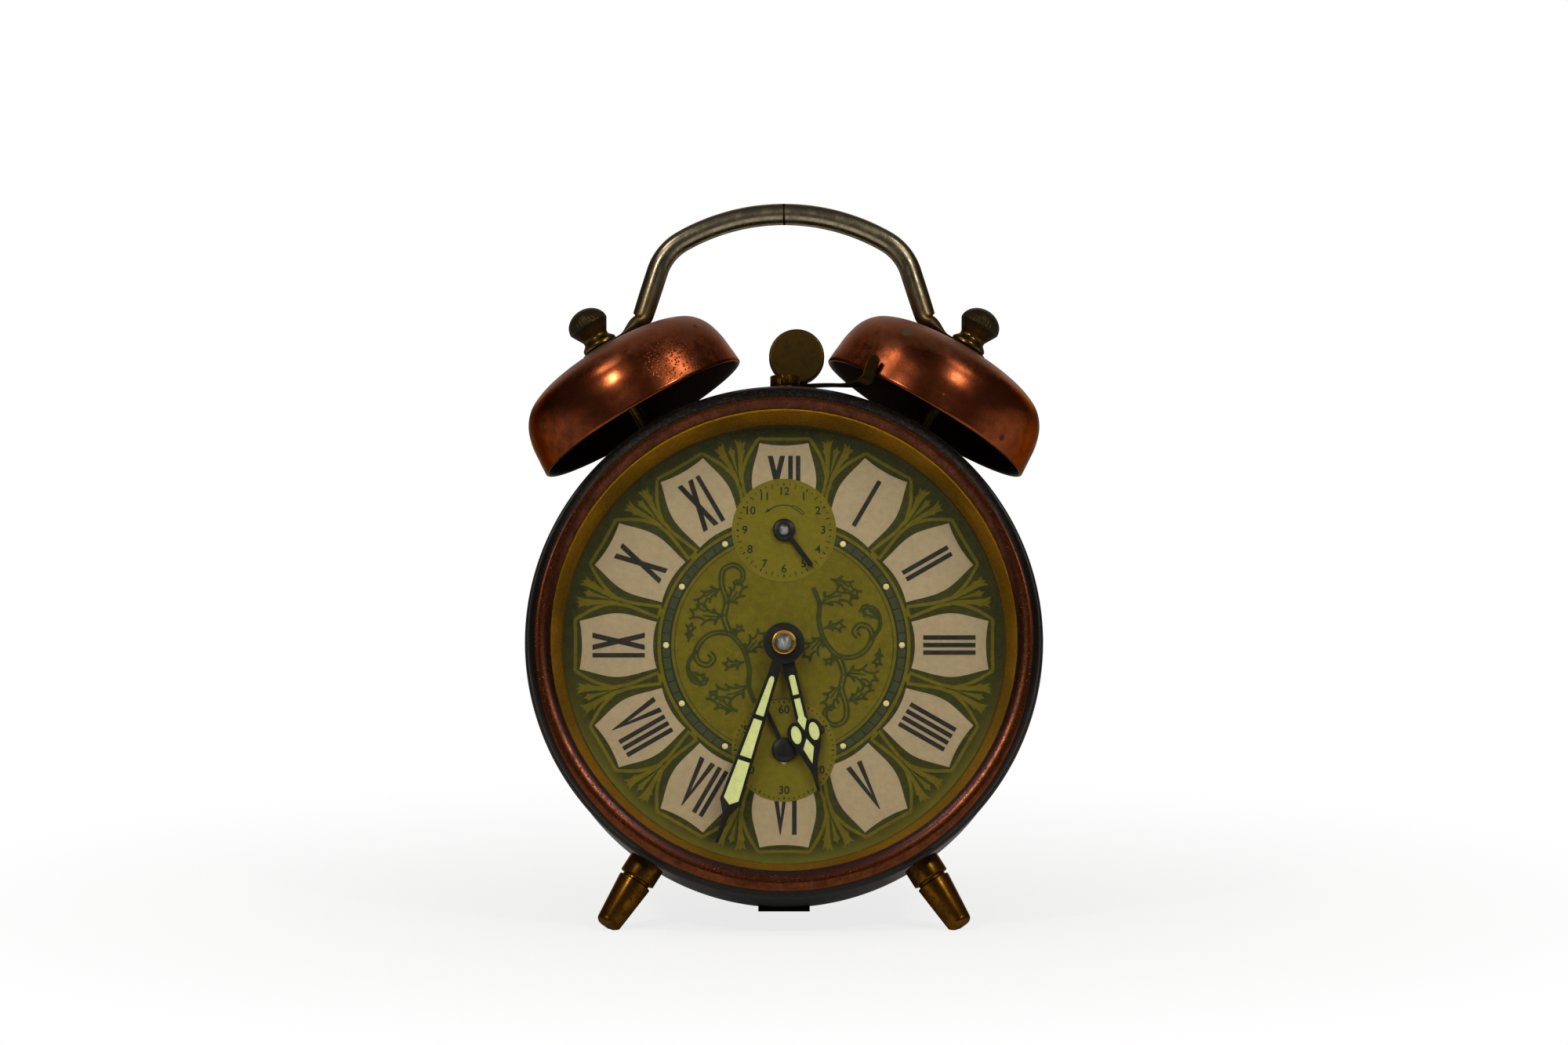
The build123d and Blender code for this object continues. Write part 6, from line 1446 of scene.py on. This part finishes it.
def nodeMiddle(node):
    # a node's middle, brought back to the clock's right and up
    low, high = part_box(node)
    offset = (np.array((low + high) / 2) - origin) / mm
    return (float(offset @ across), float(offset @ upward))


marks = []
for centre, ring, start, stop in ((nodeMiddle("great_wheel"), "keyRing", 200, 245),
                                  (nodeMiddle("alarm_great_wheel"), "keyRing", 160, 115),
                                  ((0, 0), "knobRing", 130, 220), (alarmAt, "knobRing", -40, 40)):
    marks += arrowMark(centre, backMarks[ring], start, stop)
makePiece("cover_arrows", marks, "case", blackInk)
print("back done")

# Everything that keeps its own shape
springs = ("mainspring", "alarm_mainspring", "hairspring")
steels = ("winding_arbor", "alarm_winding_arbor", "pallet_lever", "pillar_nuts", "bell_post_nuts",
          "foot_nuts", "time_click", "alarm_click")
finishOf = {**dict.fromkeys(springs, bluedSteel), **dict.fromkeys(steels, brightSteel)}
for name, node in frame["nodes"].items():
    node.data.materials.clear()
    node.data.materials.append(finishOf.get(name, clockBrass))
print("inner pieces dressed")

# Floor, light and camera
studio = {
    "floorReach": 9.0, "floorGlow": 0.8, "glowFrom": 0.04, "glowTo": 0.2, "floorInMetal": 0.05,
    "worldLevel": 0.16, "mirrorLevel": 0.05, "behindFrom": 0.68,
    "lampColour": (1.0, 0.95, 0.86), "lampDistance": 0.95, "lampTarget": (0.0, 10.0, 20.0),
}
# the way to each lamp from its target, its power in watts and its width in metres
lamps = {
    "left_lamp": ((-0.453, -0.785, 0.423), 1.9, 0.09),
    "right_lamp": ((0.483, -0.758, 0.438), 1.9, 0.09),
    "left_high_lamp": ((-0.55, -0.42, 0.72), 0.85, 0.28),
    "right_high_lamp": ((0.55, -0.48, 0.68), 0.85, 0.28),
}


def makeFloor():
    # a pale floor that glows for the camera and for glass, less so under the clock, and little in metal
    recipe = Recipe("pale_floor")
    objectPlace = recipe.node("ShaderNodeTexCoord", {}, {}, "Object")
    fromCamera, fromMetal, fromGlass = recipe.rays()
    seen = recipe.spread(fromCamera + fromMetal * studio["floorInMetal"] + fromGlass, 0.0, 1.0)
    away = recipe.spread(recipe.distance(objectPlace, (0.0, 0.0, 0.0)), studio["glowFrom"], studio["glowTo"])
    flat = recipe.node("ShaderNodeBsdfDiffuse", {}, {"Color": (0.9, 0.9, 0.89)})
    glow = recipe.node("ShaderNodeEmission", {}, {"Color": (1.0, 1.0, 1.0), "Strength": 1.0})
    reach = studio["floorReach"]
    corners = [(-reach, -reach, 0), (reach, -reach, 0), (reach, reach, 0), (-reach, reach, 0)]
    mesh = bpy.data.meshes.new("floor")
    mesh.from_pydata(corners, [], [(0, 1, 2, 3)])
    mesh.materials.append(
        recipe.blend(seen * (studio["floorGlow"] + (1.0 - studio["floorGlow"]) * away), flat, glow))
    floor = bpy.data.objects.new("floor", mesh)
    bpy.context.scene.collection.objects.link(floor)


def makeWorld():
    # white for the camera; metal sees it behind the clock, and a darker room in front
    world = bpy.data.worlds.new("studio")
    bpy.context.scene.world = world
    recipe = Recipe("studio", world)
    way = recipe.node("ShaderNodeTexCoord", {}, {}, "Generated")
    fromCamera, fromMetal, fromGlass = recipe.rays()
    behind = recipe.spread(recipe.part(way, "Y"), studio["behindFrom"], 1.0)
    seen = recipe.spread(fromCamera + (fromMetal + fromGlass) * behind, 0.0, 1.0)
    room = studio["worldLevel"] + (studio["mirrorLevel"] - studio["worldLevel"]) * fromMetal
    level = room * (1.0 - seen) + seen
    light = recipe.node("ShaderNodeBackground", {}, {"Color": (1.0, 1.0, 1.0), "Strength": level})
    recipe.node("ShaderNodeOutputWorld", {}, {"Surface": light})


def aimed(thing, place, target):
    # put at a place and turned so that its own -Z points at the target
    thing.location = place
    thing.rotation_mode = "QUATERNION"
    thing.rotation_quaternion = (Vector(target) - Vector(place)).to_track_quat("-Z", "Y")


def makeLamp(name, direction, power, size):
    # a round lamp that stands a fixed distance from the target
    lamp = bpy.data.lights.new(name, "AREA")
    lamp.shape, lamp.size, lamp.energy, lamp.color = "DISK", size, power, studio["lampColour"]
    holder = bpy.data.objects.new(name, lamp)
    bpy.context.scene.collection.objects.link(holder)
    direction = unit(direction)
    target = toRow(studio["lampTarget"])
    way = direction[0] * across + direction[1] * backward + direction[2] * upward
    aimed(holder, target + studio["lampDistance"] * way, target)


makeFloor()
makeWorld()
for name, (direction, power, size) in lamps.items():
    makeLamp(name, direction, power, size)

view = {"target": (0.0, 0.0, 25.2), "distance": 7000.0, "rise": 0.151, "lens": 756.0}
lens = bpy.data.cameras.new("camera")
lens.lens, lens.sensor_width, lens.clip_end = view["lens"], 36.0, 50.0
camera = bpy.data.objects.new("camera", lens)
bpy.context.scene.collection.objects.link(camera)
target = np.array(view["target"])
sight = np.array((0.0, math.sqrt(1 - view["rise"]**2), view["rise"]))
aimed(camera, toRow(target - view["distance"] * sight), toRow(target))
bpy.context.scene.camera = camera
bpy.context.scene.view_settings.view_transform = "Standard"
print("studio ready")
